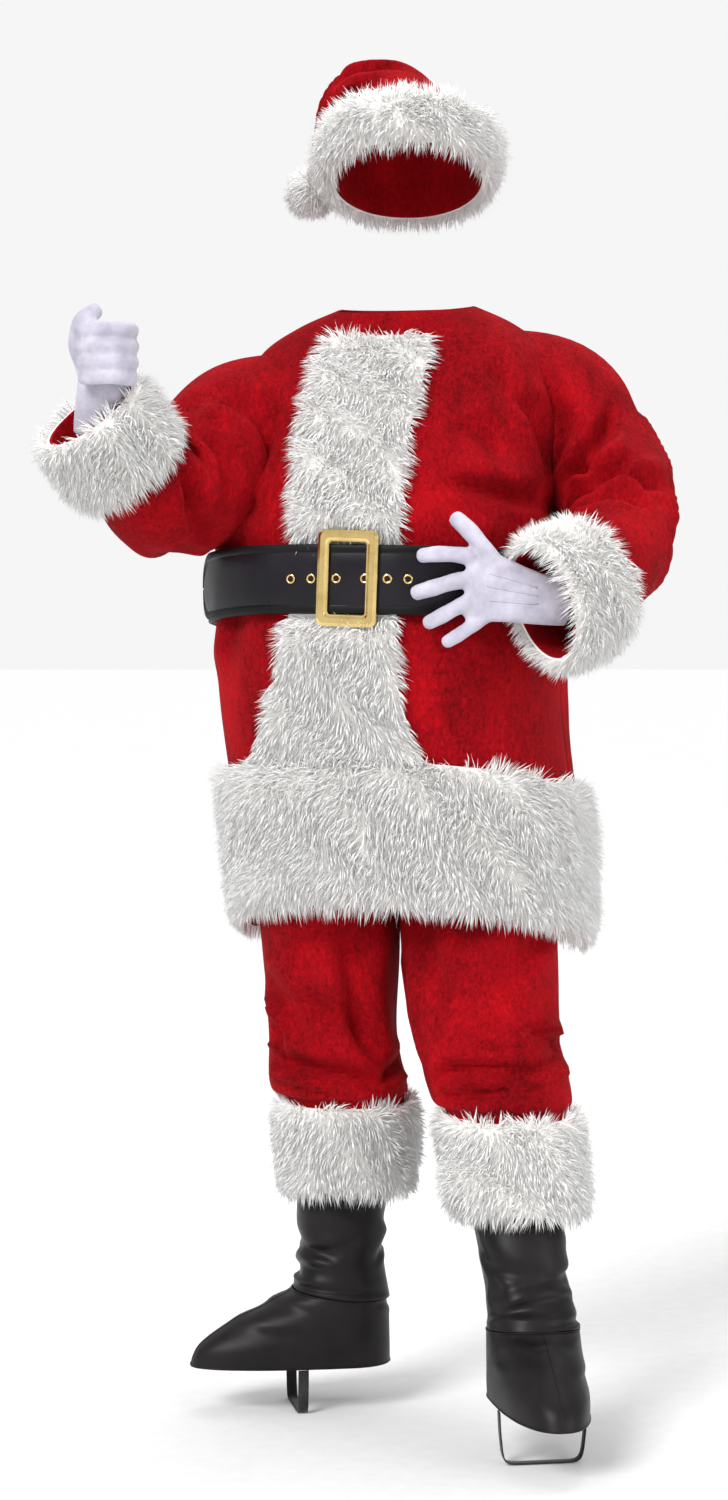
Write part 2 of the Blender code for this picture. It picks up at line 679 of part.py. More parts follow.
def make_belt(coat, suit):
    """The belt: one strap whose end goes through the buckle and lies over its start, and the eyelets."""
    section = coat.section(coat.t_at(BELT_LEVEL))
    half = BELT_HEIGHT / 2.0
    bound = half - BELT_BINDING
    thick = BELT_THICKNESS
    proud = BELT_THICKNESS + BELT_BINDING_PROUD
    profile = ((-half, 0.0), (-half, proud), (-bound, proud), (-bound, thick),
               (bound, thick), (bound, proud), (half, proud), (half, 0.0))
    tip_start = BELT_TIP + math.degrees(half / section.half_width)
    angles = spread(BELT_START, tip_start, BELT_STEPS)
    widths = [1.0] * len(angles)
    for k in range(1, TIP_STEPS):
        turn = math.radians(90.0 * k / TIP_STEPS)
        angles.append(tip_start + (BELT_TIP - tip_start) * math.sin(turn))
        widths.append(math.cos(turn))
    rows = []
    for angle, width in zip(angles, widths):
        lift = belt_layer(angle)
        rows.append([section.point(angle, lift + out, up * width) for up, out in profile])
    place("belt_strap", grid_mesh("belt_strap", rows, wrap=True, caps=True), "belt", suit)

    face = BELT_STAND_OFF + BELT_LAYER_STEP + BELT_THICKNESS
    for k in range(EYELET_COUNT):
        across = (k - (EYELET_COUNT - 1) / 2.0) * EYELET_SPACING + EYELET_SHIFT
        angle = BUCKLE_ANGLE + math.degrees(across / section.front) * STRIP_ANGLE_SHARE
        frame = face_frame(section, angle, face + SEAM)
        radii = (EYELET_HOLE, EYELET_RADIUS, EYELET_RADIUS, EYELET_HOLE)
        depths = (0.0, 0.0, EYELET_PROUD, EYELET_PROUD)
        turns = [math.radians(turn) for turn in even_angles(EYELET_SIDES)]
        rows = [[frame @ Vector((r * math.cos(turn), r * math.sin(turn), d))
                 for r, d in zip(radii, depths)] for turn in turns]
        mesh = grid_mesh("belt_eyelet", rows, wrap=True, ring=True)
        place(f"belt_eyelet_{k + 1}", mesh, "gold", suit)


def face_frame(section, angle, out):
    """A frame on the belt's face: X to the wearer's left, Y up the belt, Z outwards."""
    across = section.point(angle + ANGLE_STEP, out) - section.point(angle - ANGLE_STEP, out)
    across.normalize()
    up = section.up.normalized()
    outwards = across.cross(up)
    frame = Matrix((across, up, outwards)).transposed().to_4x4()
    frame.translation = section.point(angle, out)
    return frame


def rounded_rectangle(half_x, half_y, radius, z):
    """Points round a rectangle with arcs at its corners."""
    points = []
    for corner, (sign_x, sign_y) in enumerate(((1, 1), (-1, 1), (-1, -1), (1, -1))):
        for k in range(CORNER_STEPS + 1):
            turn = math.radians(90.0 * (corner + k / CORNER_STEPS))
            x = sign_x * (half_x - radius) + radius * math.cos(turn)
            y = sign_y * (half_y - radius) + radius * math.sin(turn)
            points.append(Vector((x, y, z)))
    return points


def make_buckle(coat, suit, cutters):
    """The buckle's frame, with the bar behind the strap's end that the strap's start is sewn round."""
    section = coat.section(coat.t_at(BELT_LEVEL))
    face = BELT_STAND_OFF + BELT_LAYER_STEP + BELT_THICKNESS + BELT_BINDING_PROUD
    frame = face_frame(section, BUCKLE_ANGLE, face + BUCKLE_CLEARANCE)
    frame = frame @ Matrix.Rotation(math.radians(BUCKLE_LEAN), 4, "Z")
    half_x, half_y = BUCKLE_WIDTH / 2.0, BUCKLE_HEIGHT / 2.0
    bevel = BUCKLE_BEVEL
    loops = (
        rounded_rectangle(half_x, half_y, BUCKLE_CORNER, 0.0),
        rounded_rectangle(half_x, half_y, BUCKLE_CORNER, BUCKLE_DEPTH - bevel),
        rounded_rectangle(half_x - bevel, half_y - bevel, BUCKLE_CORNER - bevel, BUCKLE_DEPTH),
        rounded_rectangle(half_x - BUCKLE_BAR + bevel, half_y - BUCKLE_BAR + bevel,
                          BUCKLE_INNER_CORNER + bevel, BUCKLE_DEPTH),
        rounded_rectangle(half_x - BUCKLE_BAR, half_y - BUCKLE_BAR, BUCKLE_INNER_CORNER,
                          BUCKLE_DEPTH - bevel),
        rounded_rectangle(half_x - BUCKLE_BAR, half_y - BUCKLE_BAR, BUCKLE_INNER_CORNER, 0.0),
    )
    rows = [[frame @ point for point in loop] for loop in loops]
    buckle = place("belt_buckle", grid_mesh("belt_buckle", rows, wrap=True, ring=True), "gold", suit)

    behind = -(BELT_THICKNESS + BELT_BINDING_PROUD + BUCKLE_CLEARANCE + BAR_RADIUS + BAR_GAP)
    reach = half_y - BUCKLE_BAR / 2.0
    route = ((reach, BUCKLE_DEPTH / 2.0), (reach, behind), (-reach, behind), (-reach, BUCKLE_DEPTH / 2.0))
    curve = bpy.data.curves.new("buckle_bar", "CURVE")
    curve.dimensions = "3D"
    curve.bevel_depth = BAR_RADIUS
    curve.bevel_resolution = 2
    curve.use_fill_caps = True
    spline = curve.splines.new("POLY")
    spline.points.add(len(route) - 1)
    for knot, (up, out) in zip(spline.points, route):
        knot.co = (*(frame @ Vector((0.0, up, out))), 1.0)
    guide = bpy.data.objects.new("buckle_bar_guide", curve)
    cutters.objects.link(guide)
    bpy.context.view_layer.update()
    mesh = bpy.data.meshes.new_from_object(guide.evaluated_get(bpy.context.evaluated_depsgraph_get()))
    bpy.data.objects.remove(guide)
    welded = bmesh.new()
    welded.from_mesh(mesh)
    bmesh.ops.remove_doubles(welded, verts=welded.verts, dist=1e-5)
    welded.to_mesh(mesh)
    welded.free()
    cut(buckle, cutter("buckle_bar", mesh, cutters), "UNION")


def make_hat(suit):
    """The hat: a crown seamed up its back, whose end flops over and down, a fur band and a pompom."""
    crown = BentTube(HAT_CROWN, (0, -1, 0))
    band_top = HAT_BAND_T
    levels = spread(0.0, band_top, HAT_BAND_STEPS)[:-1] + spread(band_top, 1.0, HAT_CROWN_STEPS)
    around = even_angles(HAT_COLUMNS)
    sleeve_tube("hat_crown", crown, levels, around, PLUSH, "plush", suit)
    fur_ring("hat_fur_band", crown, levels[:HAT_BAND_STEPS + 1], around, HAT_FUR_REACH, suit)
    ball = bmesh.new()
    bmesh.ops.create_uvsphere(
        ball, u_segments=POMPOM_SEGMENTS, v_segments=POMPOM_RINGS, radius=POMPOM_RADIUS)
    bmesh.ops.translate(ball, verts=ball.verts, vec=POMPOM_CENTRE)
    mesh = bpy.data.meshes.new("hat_pompom")
    ball.to_mesh(mesh)
    ball.free()
    place("hat_pompom", mesh, "fur", suit)


def make_trousers(suit):
    """The trousers: a front and a back for each leg, an elastic waistband and fur at the ankles."""
    fur_levels = spread(0.0, LEG_FUR_T, LEG_FUR_STEPS)
    levels = fur_levels[:-1] + spread(LEG_FUR_T, 1.0, LEG_STEPS)
    for side, rows, outer in (("right", RIGHT_LEG, -1.0), ("left", LEFT_LEG, 1.0)):
        leg = LegTube(rows, outer)
        front, back = spread(0, 180, LEG_COLUMNS), spread(-180, 0, LEG_COLUMNS)
        if outer > 0.0:
            front, back = front[::-1], back[::-1]
        panel(f"trouser_front_{side}", leg, levels, front, PLUSH, "plush", suit)
        panel(f"trouser_back_{side}", leg, levels, back, PLUSH, "plush", suit)
        around = even_angles(2 * LEG_COLUMNS)
        fur_ring(f"trouser_cuff_fur_{side}", leg, fur_levels, around, LEG_FUR_REACH, suit, LEG_FUR_DROP)
    top = RIGHT_LEG[-1]
    waist = Ring(top.height + SEAM * 2, 0.0, top.y, top.half_width - top.x, top.front, top.back, 0.0, 0.0)
    band = StandingTube((waist, waist._replace(height=waist.height + WAISTBAND_HEIGHT)))
    sleeve_tube("trouser_waistband", band, (0.0, 1.0), even_angles(WAIST_COLUMNS), PLUSH, "plush", suit)


def make_boot_covers(suit):
    """The boot covers: a shaft and a foot piece each, open below, with an elastic under the shoe."""
    around = even_angles(BOOT_COLUMNS)
    for side, shaft, foot in (
        ("right", RIGHT_BOOT_SHAFT, RIGHT_BOOT_FOOT),
        ("left", LEFT_BOOT_SHAFT, LEFT_BOOT_FOOT),
    ):
        ankle = foot[-1]
        shaft_rows = (ankle._replace(height=ankle.height + ANKLE_SEAM), *shaft)
        sleeve_tube(f"boot_shaft_{side}", StandingTube(shaft_rows), spread(0, 1, SHAFT_STEPS), around,
                    LEATHERETTE, "boot", suit)
        foot_tube = StandingTube(foot)
        sleeve_tube(f"boot_foot_{side}", foot_tube, spread(0, 1, FOOT_STEPS), around,
                    LEATHERETTE, "boot", suit)
        make_stirrup(f"boot_stirrup_{side}", foot[0], suit)


def make_stirrup(name, sole, suit):
    """The elastic that runs from one lower edge of a boot cover to the other, under the shoe."""
    turned = Matrix.Rotation(math.radians(sole.turn), 3, "Z")
    half = sole.half_width
    top = sole.height - 2 * SEAM
    side = [(half - turn.inward, top * turn.height_share) for turn in STIRRUP_SIDE]
    route = side + [(-across, height) for across, height in reversed(side)]
    rows = []
    for forward in (STIRRUP_REACH, STIRRUP_REACH + STIRRUP_WIDTH):
        rows.append([Vector((sole.x, sole.y, height)) + turned @ Vector((across, -forward, 0.0))
                     for across, height in route])
    piece = place(name, grid_mesh(name, rows), "elastic", suit)
    thicken(piece, ELASTIC)


def finger_rows(points, radius, trim):
    """The rings of one finger along its points, tapering to a blunt tip. `trim` thins it for the hollow."""
    rows = []
    for t, taper in zip(spread(0.0, 1.0, len(FINGER_TAPER) - 1), FINGER_TAPER):
        x, y, z = row_at([Knot(*point) for point in points], t)
        rows.append(Bend(x, y, z, radius * taper - trim, radius * taper - trim))
    return rows


def make_glove(side, palm, fingers, hint, suit, cutters):
    """A glove: palm and fingers joined into one form, then hollowed from the wrist."""
    around = even_angles(PALM_COLUMNS)
    finger_around = even_angles(FINGER_COLUMNS)
    finger_levels = spread(0.0, 1.0, FINGER_STEPS)
    hand = BentTube(palm, hint)
    rows = [[hand.point(t, angle) for angle in around] for t in spread(0.0, 1.0, PALM_STEPS)]
    glove = place(f"glove_{side}", grid_mesh(f"glove_{side}", rows, wrap=True, caps=True), "glove", suit)
    orient_outwards(glove.data)
    for finger in fingers:
        tube = BentTube(finger_rows(finger.points, finger.radius, 0.0), FINGER_HINT)
        helper = volume(f"{side}_{finger.name}_out", tube, finger_levels, finger_around, 0.0, cutters)
        orient_outwards(helper.data)
        cut(glove, helper, "UNION")
    thin = [row._replace(across=row.across - KNIT, lift=row.lift - KNIT) for row in palm]
    start, second = Vector(thin[0][:3]), Vector(thin[1][:3])
    mouth = start + (start - second).normalized() * GLOVE_MOUTH
    thin[0] = thin[0]._replace(x=mouth.x, y=mouth.y, z=mouth.z)
    end, before = Vector(thin[-1][:3]), Vector(thin[-2][:3])
    tip = end + (before - end).normalized() * KNIT
    thin[-1] = thin[-1]._replace(x=tip.x, y=tip.y, z=tip.z)
    hollow = volume(f"{side}_palm_in", BentTube(thin, hint), spread(0, 1, PALM_STEPS), around, 0.0, cutters)
    orient_outwards(hollow.data)
    cut(glove, hollow)
    for finger in fingers:
        points = [Vector(point) for point in finger.points]
        points[-1] = points[-1] + (points[-2] - points[-1]).normalized() * KNIT * 2
        tube = BentTube(finger_rows(points, finger.radius, KNIT), FINGER_HINT)
        helper = volume(f"{side}_{finger.name}_in", tube, finger_levels, finger_around, 0.0, cutters)
        orient_outwards(helper.data)
        cut(glove, helper)


def orient_outwards(mesh):
    """Turns a closed mesh's faces outwards."""
    made = bmesh.new()
    made.from_mesh(mesh)
    bmesh.ops.recalc_face_normals(made, faces=made.faces)
    made.to_mesh(mesh)
    made.free()


def curled_fingers():
    """The four fingers of the closed glove, each a curl round the same upright line."""
    fingers = []
    for curl in RIGHT_CURLS:
        points = []
        for angle in spread(CURL_FROM, CURL_TO, CURL_STEPS):
            turn = math.radians(angle)
            x = CURL_CENTRE[0] + CURL_WIDTH * math.sin(turn)
            y = CURL_CENTRE[1] - CURL_DEPTH * math.cos(turn)
            points.append((x, y, curl.height))
        fingers.append(Finger(curl.name, curl.radius, points))
    return fingers


def main():
    """Builds the suit."""
    clear_scene()
    suit = new_collection("santa_suit")
    cutters = new_collection("cutters")
    coat = StandingTube(COAT_RINGS, COAT_FOLDS, COAT_LENGTH, COAT_RADIUS)
    make_coat(coat, suit, cutters)
    make_belt(coat, suit)
    make_buckle(coat, suit, cutters)
    make_hat(suit)
    make_trousers(suit)
    make_boot_covers(suit)
    make_glove("left", LEFT_PALM, LEFT_FINGERS, (0, 0, 1), suit, cutters)
    make_glove("right", RIGHT_PALM, [*curled_fingers(), RIGHT_THUMB], (0, -1, 0), suit, cutters)


main()
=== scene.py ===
"""The looks of a plush Christmas suit in its worn, hollow form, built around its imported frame.

Metres, +Z up, in the frame's own axes: the origin is where the shoulders carry the coat. Heights in
the tables are above the wearer's soles, and every tube is set down by HOLD_HEIGHT. Right and left
are the wearer's: the right is at -X, and the front faces -Y, turned a little towards -X.

A garment piece is a fine grid laid on a tube. A place on a tube has a t, from 0 to 1 along it, and
an angle, 0 at the front and 90 degrees at the wearer's left. Creases are placed by t and angle.
"""

from __future__ import annotations

import logging
import math
from dataclasses import dataclass, field
from enum import Enum
from typing import Callable, NamedTuple, Sequence

import bmesh
import bpy
import numpy as np
from mathutils import Matrix, Vector
from mathutils.bvhtree import BVHTree


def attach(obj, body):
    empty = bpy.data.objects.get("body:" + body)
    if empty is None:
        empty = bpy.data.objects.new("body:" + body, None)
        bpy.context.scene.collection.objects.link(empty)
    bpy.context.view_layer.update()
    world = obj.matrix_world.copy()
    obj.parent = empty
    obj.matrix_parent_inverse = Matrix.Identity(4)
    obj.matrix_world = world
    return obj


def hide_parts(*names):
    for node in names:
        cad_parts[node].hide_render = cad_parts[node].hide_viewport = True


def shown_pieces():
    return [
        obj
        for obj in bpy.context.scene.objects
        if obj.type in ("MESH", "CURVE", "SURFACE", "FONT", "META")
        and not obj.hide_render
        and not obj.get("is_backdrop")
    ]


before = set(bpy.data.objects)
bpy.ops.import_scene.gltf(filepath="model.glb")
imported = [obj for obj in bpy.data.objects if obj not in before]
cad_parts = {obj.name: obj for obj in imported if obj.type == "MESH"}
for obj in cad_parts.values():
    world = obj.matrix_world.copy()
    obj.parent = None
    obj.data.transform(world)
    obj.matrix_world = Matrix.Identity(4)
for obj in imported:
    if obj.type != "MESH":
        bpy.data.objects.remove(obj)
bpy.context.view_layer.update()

log = logging.getLogger("suit")

Rise = Callable[[float, np.ndarray], np.ndarray]

HOLD_HEIGHT = 1.47
SEAM = 0.0003
PLUSH = 0.0025
KNIT = 0.0015
LEATHERETTE = 0.0018
SQUARENESS = 2.35
ARM_SQUARENESS = 2.1
BODY_TURN = -18.0
BACK_TILT_SHARE = 0.3
T_STEP = 0.01
BAR_RADIUS = 0.0012  # the buckle bar behind the strap


class Ring(NamedTuple):
    """A standing ring: where it is, its size, its turn about Z and how far its front is tilted up."""

    height: float
    x: float
    y: float
    half_width: float
    front: float
    back: float
    turn: float
    tilt: float


class Bend(NamedTuple):
    """A section of a bent tube: its middle and its two half sizes."""

    x: float
    y: float
    z: float
    across: float
    lift: float


class Leg(NamedTuple):
    """A ring of one trouser leg. `join` opens its inner side into the shared hip."""

    height: float
    x: float
    y: float
    half_width: float
    front: float
    back: float
    join: float


class Strip(NamedTuple):
    """A row of the front fur strip: its height, middle angle, half width and reach."""

    height: float
    middle: float
    half_width: float
    reach: float


@dataclass(frozen=True)
class Crease:
    """A soft trough from one place on a tube to another, or a ridge where its depth is positive."""

    t0: float
    a0: float
    t1: float
    a1: float
    width: float
    depth: float
    bow: float = 0.0


COAT_RINGS = (
    Ring(0.645, 0.018, 0.008, 0.224, 0.192, 0.188, BODY_TURN, 15.0),
    Ring(0.745, 0.014, 0.006, 0.225, 0.195, 0.186, BODY_TURN, 14.0),
    Ring(0.840, 0.006, 0.004, 0.228, 0.198, 0.184, BODY_TURN, 13.0),
    Ring(0.950, -0.004, 0.002, 0.229, 0.202, 0.180, BODY_TURN, 10.0),
    Ring(1.045, -0.011, 0.000, 0.228, 0.199, 0.173, BODY_TURN, 7.0),
    Ring(1.145, -0.013, 0.000, 0.227, 0.195, 0.170, BODY_TURN, 5.5),
    Ring(1.225, -0.013, 0.004, 0.223, 0.183, 0.168, BODY_TURN, 4.0),
    Ring(1.305, -0.010, 0.010, 0.216, 0.163, 0.162, BODY_TURN, 2.0),
    Ring(1.372, -0.003, 0.016, 0.208, 0.141, 0.152, BODY_TURN, 0.0),
    Ring(1.424, 0.004, 0.020, 0.186, 0.116, 0.132, BODY_TURN, 0.0),
    Ring(1.458, 0.008, 0.022, 0.142, 0.096, 0.106, BODY_TURN, -3.0),
    Ring(1.482, 0.010, 0.024, 0.090, 0.080, 0.082, BODY_TURN, -8.0),
)
RIGHT_ARM = (
    Bend(-0.110, 0.030, 1.300, 0.098, 0.120),
    Bend(-0.205, 0.012, 1.286, 0.100, 0.122),
    Bend(-0.262, -0.062, 1.254, 0.088, 0.096),
    Bend(-0.307, -0.128, 1.228, 0.076, 0.078),
    Bend(-0.334, -0.165, 1.246, 0.064, 0.065),
    Bend(-0.364, -0.190, 1.285, 0.057, 0.060),
    Bend(-0.396, -0.211, 1.330, 0.058, 0.062),
)
LEFT_ARM = (
    Bend(0.105, 0.030, 1.350, 0.092, 0.100),
    Bend(0.200, 0.016, 1.330, 0.094, 0.108),
    Bend(0.258, -0.012, 1.272, 0.080, 0.084),
    Bend(0.288, -0.062, 1.212, 0.073, 0.076),
    Bend(0.286, -0.122, 1.165, 0.066, 0.071),
    Bend(0.260, -0.190, 1.130, 0.056, 0.064),
    Bend(0.220, -0.232, 1.106, 0.050, 0.068),
    Bend(0.178, -0.266, 1.088, 0.050, 0.070),
)
RIGHT_LEG = (
    Leg(0.303, -0.069, 0.012, 0.0735, 0.075, 0.075, 0.0),
    Leg(0.416, -0.072, 0.012, 0.0765, 0.079, 0.079, 0.0),
    Leg(0.438, -0.081, 0.010, 0.0900, 0.094, 0.092, 0.0),
    Leg(0.510, -0.087, 0.008, 0.0840, 0.092, 0.092, 0.0),
    Leg(0.600, -0.093, 0.006, 0.0890, 0.100, 0.102, 0.0),
    Leg(0.680, -0.097, 0.006, 0.0930, 0.112, 0.112, 0.0),
    Leg(0.750, -0.098, 0.006, 0.0960, 0.124, 0.118, 0.30),
    Leg(0.820, -0.098, 0.004, 0.0970, 0.134, 0.120, 0.85),
    Leg(0.920, -0.095, 0.002, 0.0945, 0.140, 0.118, 1.0),
    Leg(1.020, -0.088, 0.000, 0.0875, 0.136, 0.110, 1.0),
)
LEFT_LEG = (
    Leg(0.305, 0.150, -0.177, 0.0735, 0.075, 0.075, 0.0),
    Leg(0.420, 0.141, -0.140, 0.0765, 0.079, 0.079, 0.0),
    Leg(0.442, 0.131, -0.128, 0.0900, 0.094, 0.092, 0.0),
    Leg(0.512, 0.115, -0.098, 0.0940, 0.094, 0.094, 0.0),
    Leg(0.600, 0.109, -0.064, 0.0990, 0.102, 0.102, 0.0),
    Leg(0.680, 0.105, -0.036, 0.1000, 0.112, 0.112, 0.0),
    Leg(0.750, 0.102, -0.016, 0.0990, 0.122, 0.116, 0.30),
    Leg(0.820, 0.099, -0.004, 0.0970, 0.132, 0.116, 0.85),
    Leg(0.920, 0.095, 0.000, 0.0945, 0.140, 0.118, 1.0),
    Leg(1.020, 0.088, 0.000, 0.0875, 0.136, 0.110, 1.0),
)
LEG_FUR_T = 1.0 / 9.0
RIGHT_SHAFT = (
    Ring(0.154, -0.078, 0.010, 0.060, 0.066, 0.061, -80.0, 8.0),
    Ring(0.200, -0.079, 0.010, 0.054, 0.056, 0.056, -80.0, 0.0),
    Ring(0.260, -0.076, 0.010, 0.055, 0.058, 0.057, -80.0, 0.0),
    Ring(0.370, -0.074, 0.010, 0.062, 0.066, 0.062, -80.0, 0.0),
)
RIGHT_FOOT = (
    Ring(0.062, -0.078, 0.010, 0.054, 0.206, 0.062, -80.0, 0.0),
    Ring(0.082, -0.078, 0.010, 0.056, 0.194, 0.062, -80.0, 2.0),
    Ring(0.105, -0.078, 0.010, 0.057, 0.152, 0.062, -80.0, 5.0),
    Ring(0.128, -0.078, 0.010, 0.058, 0.104, 0.062, -80.0, 8.0),
    Ring(0.152, -0.078, 0.010, 0.060, 0.066, 0.061, -80.0, 8.0),
)
LEFT_SHAFT = (
    Ring(0.160, 0.168, -0.238, 0.057, 0.063, 0.061, 9.0, 8.0),
    Ring(0.206, 0.162, -0.222, 0.052, 0.055, 0.056, 9.0, 0.0),
    Ring(0.266, 0.154, -0.200, 0.055, 0.057, 0.058, 9.0, 0.0),
    Ring(0.375, 0.144, -0.150, 0.063, 0.062, 0.063, 9.0, 0.0),
)
LEFT_FOOT = (
    Ring(0.070, 0.168, -0.238, 0.056, 0.186, 0.062, 9.0, 0.0),
    Ring(0.090, 0.168, -0.238, 0.057, 0.174, 0.062, 9.0, 2.0),
    Ring(0.112, 0.168, -0.238, 0.057, 0.138, 0.062, 9.0, 5.0),
    Ring(0.135, 0.168, -0.238, 0.057, 0.098, 0.062, 9.0, 8.0),
    Ring(0.158, 0.168, -0.238, 0.057, 0.063, 0.061, 9.0, 8.0),
)
HAT_CROWN = (
    Bend(0.012, 0.014, 1.650, 0.096, 0.112),
    Bend(0.012, 0.033, 1.704, 0.098, 0.110),
    Bend(0.010, 0.048, 1.740, 0.056, 0.075),
    Bend(-0.010, 0.068, 1.775, 0.034, 0.048),
    Bend(-0.048, 0.092, 1.784, 0.028, 0.036),
    Bend(-0.077, 0.114, 1.761, 0.026, 0.030),
    Bend(-0.095, 0.128, 1.722, 0.021, 0.023),
    Bend(-0.106, 0.134, 1.685, 0.014, 0.015),
)
FUR_STRIP = (
    Strip(0.8410, -11.5, 0.146, 0.020),
    Strip(0.8700, -9.0, 0.122, 0.020),
    Strip(0.9250, -6.0, 0.098, 0.019),
    Strip(1.0080, -2.5, 0.082, 0.016),
    Strip(1.0420, -1.5, 0.078, 0.0020),
    Strip(1.0500, -1.0, 0.077, 0.0020),
    Strip(1.1420, 0.5, 0.073, 0.0020),
    Strip(1.1480, 0.5, 0.073, 0.0020),
    Strip(1.1800, 0.5, 0.072, 0.016),
    Strip(1.2600, 0.0, 0.070, 0.019),
    Strip(1.3400, 0.0, 0.067, 0.019),
    Strip(1.4000, 0.0, 0.061, 0.017),
    Strip(1.4380, 0.0, 0.052, 0.013),
)
STRIP_ANGLE_SHARE = 0.67

COAT_CREASES = (
    Crease(0.640, 33.0, 0.600, 52.0, 0.020, -0.006, 0.01),
    Crease(0.553, 34.0, 0.530, 74.0, 0.014, -0.008, -0.006),
    Crease(0.575, 30.0, 0.560, 66.0, 0.018, 0.006, -0.004),
    Crease(0.640, -30.0, 0.500, -58.0, 0.016, -0.007, 0.012),
    Crease(0.590, -52.0, 0.500, -30.0, 0.016, -0.006, -0.008),
    Crease(0.760, -60.0, 0.660, -74.0, 0.018, -0.007, 0.010),
    Crease(0.700, 62.0, 0.580, 84.0, 0.018, -0.009, 0.012),
    Crease(0.760, 44.0, 0.640, 58.0, 0.020, -0.004, 0.010),
    Crease(0.520, 84.0, 0.515, 130.0, 0.016, -0.006, 0.004),
    Crease(0.440, 30.0, 0.330, 46.0, 0.026, -0.005, 0.014),
    Crease(0.440, 62.0, 0.300, 74.0, 0.024, -0.007, 0.010),
    Crease(0.440, -44.0, 0.300, -52.0, 0.022, -0.006, 0.010),
    Crease(0.440, -66.0, 0.320, -80.0, 0.020, -0.006, -0.010),
    Crease(0.440, 100.0, 0.250, 108.0, 0.024, -0.007, 0.012),
    Crease(0.440, 130.0, 0.290, 126.0, 0.020, -0.006, -0.010),
    Crease(0.440, 160.0, 0.240, 168.0, 0.026, -0.007, 0.012),
    Crease(0.440, -160.0, 0.280, -166.0, 0.022, -0.006, -0.008),
    Crease(0.440, -126.0, 0.260, -118.0, 0.024, -0.007, 0.014),
    Crease(0.560, 150.0, 0.545, -160.0, 0.018, -0.007, 0.008),
    Crease(0.620, 128.0, 0.540, 168.0, 0.020, -0.007, -0.012),
    Crease(0.640, -126.0, 0.555, -164.0, 0.020, -0.007, 0.012),
    Crease(0.740, 118.0, 0.640, 134.0, 0.020, -0.008, 0.010),
    Crease(0.740, -118.0, 0.650, -136.0, 0.020, -0.008, -0.010),
)
RIGHT_ARM_CREASES = (
    Crease(0.330, -8.0, 0.345, -44.0, 0.010, 0.006, 0.004),
    Crease(0.780, -56.0, 0.570, -116.0, 0.013, -0.008, 0.010),
    Crease(0.620, -78.0, 0.450, -140.0, 0.013, -0.008, -0.008),
    Crease(0.420, -36.0, 0.470, -100.0, 0.012, -0.007, 0.008),
    Crease(0.280, -30.0, 0.300, -110.0, 0.014, -0.008, 0.010),
    Crease(0.380, 8.0, 0.300, -40.0, 0.012, -0.007, 0.006),
    Crease(0.500, 30.0, 0.560, -30.0, 0.011, -0.008, 0.008),
    Crease(0.600, 60.0, 0.640, -20.0, 0.010, -0.008, -0.006),
    Crease(0.520, 110.0, 0.560, 50.0, 0.012, -0.007, 0.008),
    Crease(0.260, 60.0, 0.380, 110.0, 0.014, -0.008, 0.008),
    Crease(0.360, 140.0, 0.500, 190.0, 0.014, -0.008, -0.008),
)
LEFT_ARM_CREASES = (
    Crease(0.110, 74.0, 0.290, 122.0, 0.014, -0.010, 0.010),
    Crease(0.183, 72.0, 0.290, 94.0, 0.012, -0.009, 0.006),
    Crease(0.250, 26.0, 0.375, 76.0, 0.015, -0.010, 0.010),
    Crease(0.340, 10.0, 0.430, 60.0, 0.014, 0.005, 0.008),
    Crease(0.420, 2.0, 0.505, 84.0, 0.014, -0.010, 0.010),
    Crease(0.365, 78.0, 0.540, -48.0, 0.011, -0.008, -0.010),
    Crease(0.570, 36.0, 0.480, -46.0, 0.011, -0.009, 0.008),
    Crease(0.620, 60.0, 0.600, -30.0, 0.010, -0.007, 0.006),
    Crease(0.240, -20.0, 0.360, -70.0, 0.015, -0.009, 0.010),
    Crease(0.420, -50.0, 0.500, -120.0, 0.014, -0.009, -0.010),
    Crease(0.560, -70.0, 0.600, -140.0, 0.012, -0.007, 0.008),
    Crease(0.460, 130.0, 0.520, 200.0, 0.014, -0.008, 0.010),
    Crease(0.640, 20.0, 0.700, 90.0, 0.012, -0.006, 0.006),
)
RIGHT_LEG_CREASES = (
    Crease(0.335, 14.0, 0.315, 42.0, 0.012, -0.008, 0.006),
    Crease(0.285, 34.0, 0.245, 120.0, 0.010, -0.009, 0.008),
    Crease(0.262, 20.0, 0.232, 90.0, 0.009, 0.005, 0.006),
    Crease(0.500, 104.0, 0.315, 118.0, 0.018, -0.009, -0.010),
    Crease(0.400, 64.0, 0.300, 130.0, 0.016, -0.006, 0.010),
    Crease(0.420, 8.0, 0.350, 62.0, 0.016, -0.006, 0.008),
    Crease(0.250, 130.0, 0.270, 176.0, 0.012, -0.007, 0.006),
    Crease(0.600, 120.0, 0.480, 60.0, 0.022, -0.005, 0.014),
    Crease(0.290, -30.0, 0.260, -120.0, 0.012, -0.008, -0.008),
    Crease(0.400, -40.0, 0.350, -140.0, 0.018, -0.007, 0.012),
    Crease(0.560, -50.0, 0.450, -150.0, 0.020, -0.006, -0.010),
    Crease(0.240, -60.0, 0.232, -150.0, 0.010, -0.006, 0.006),
)
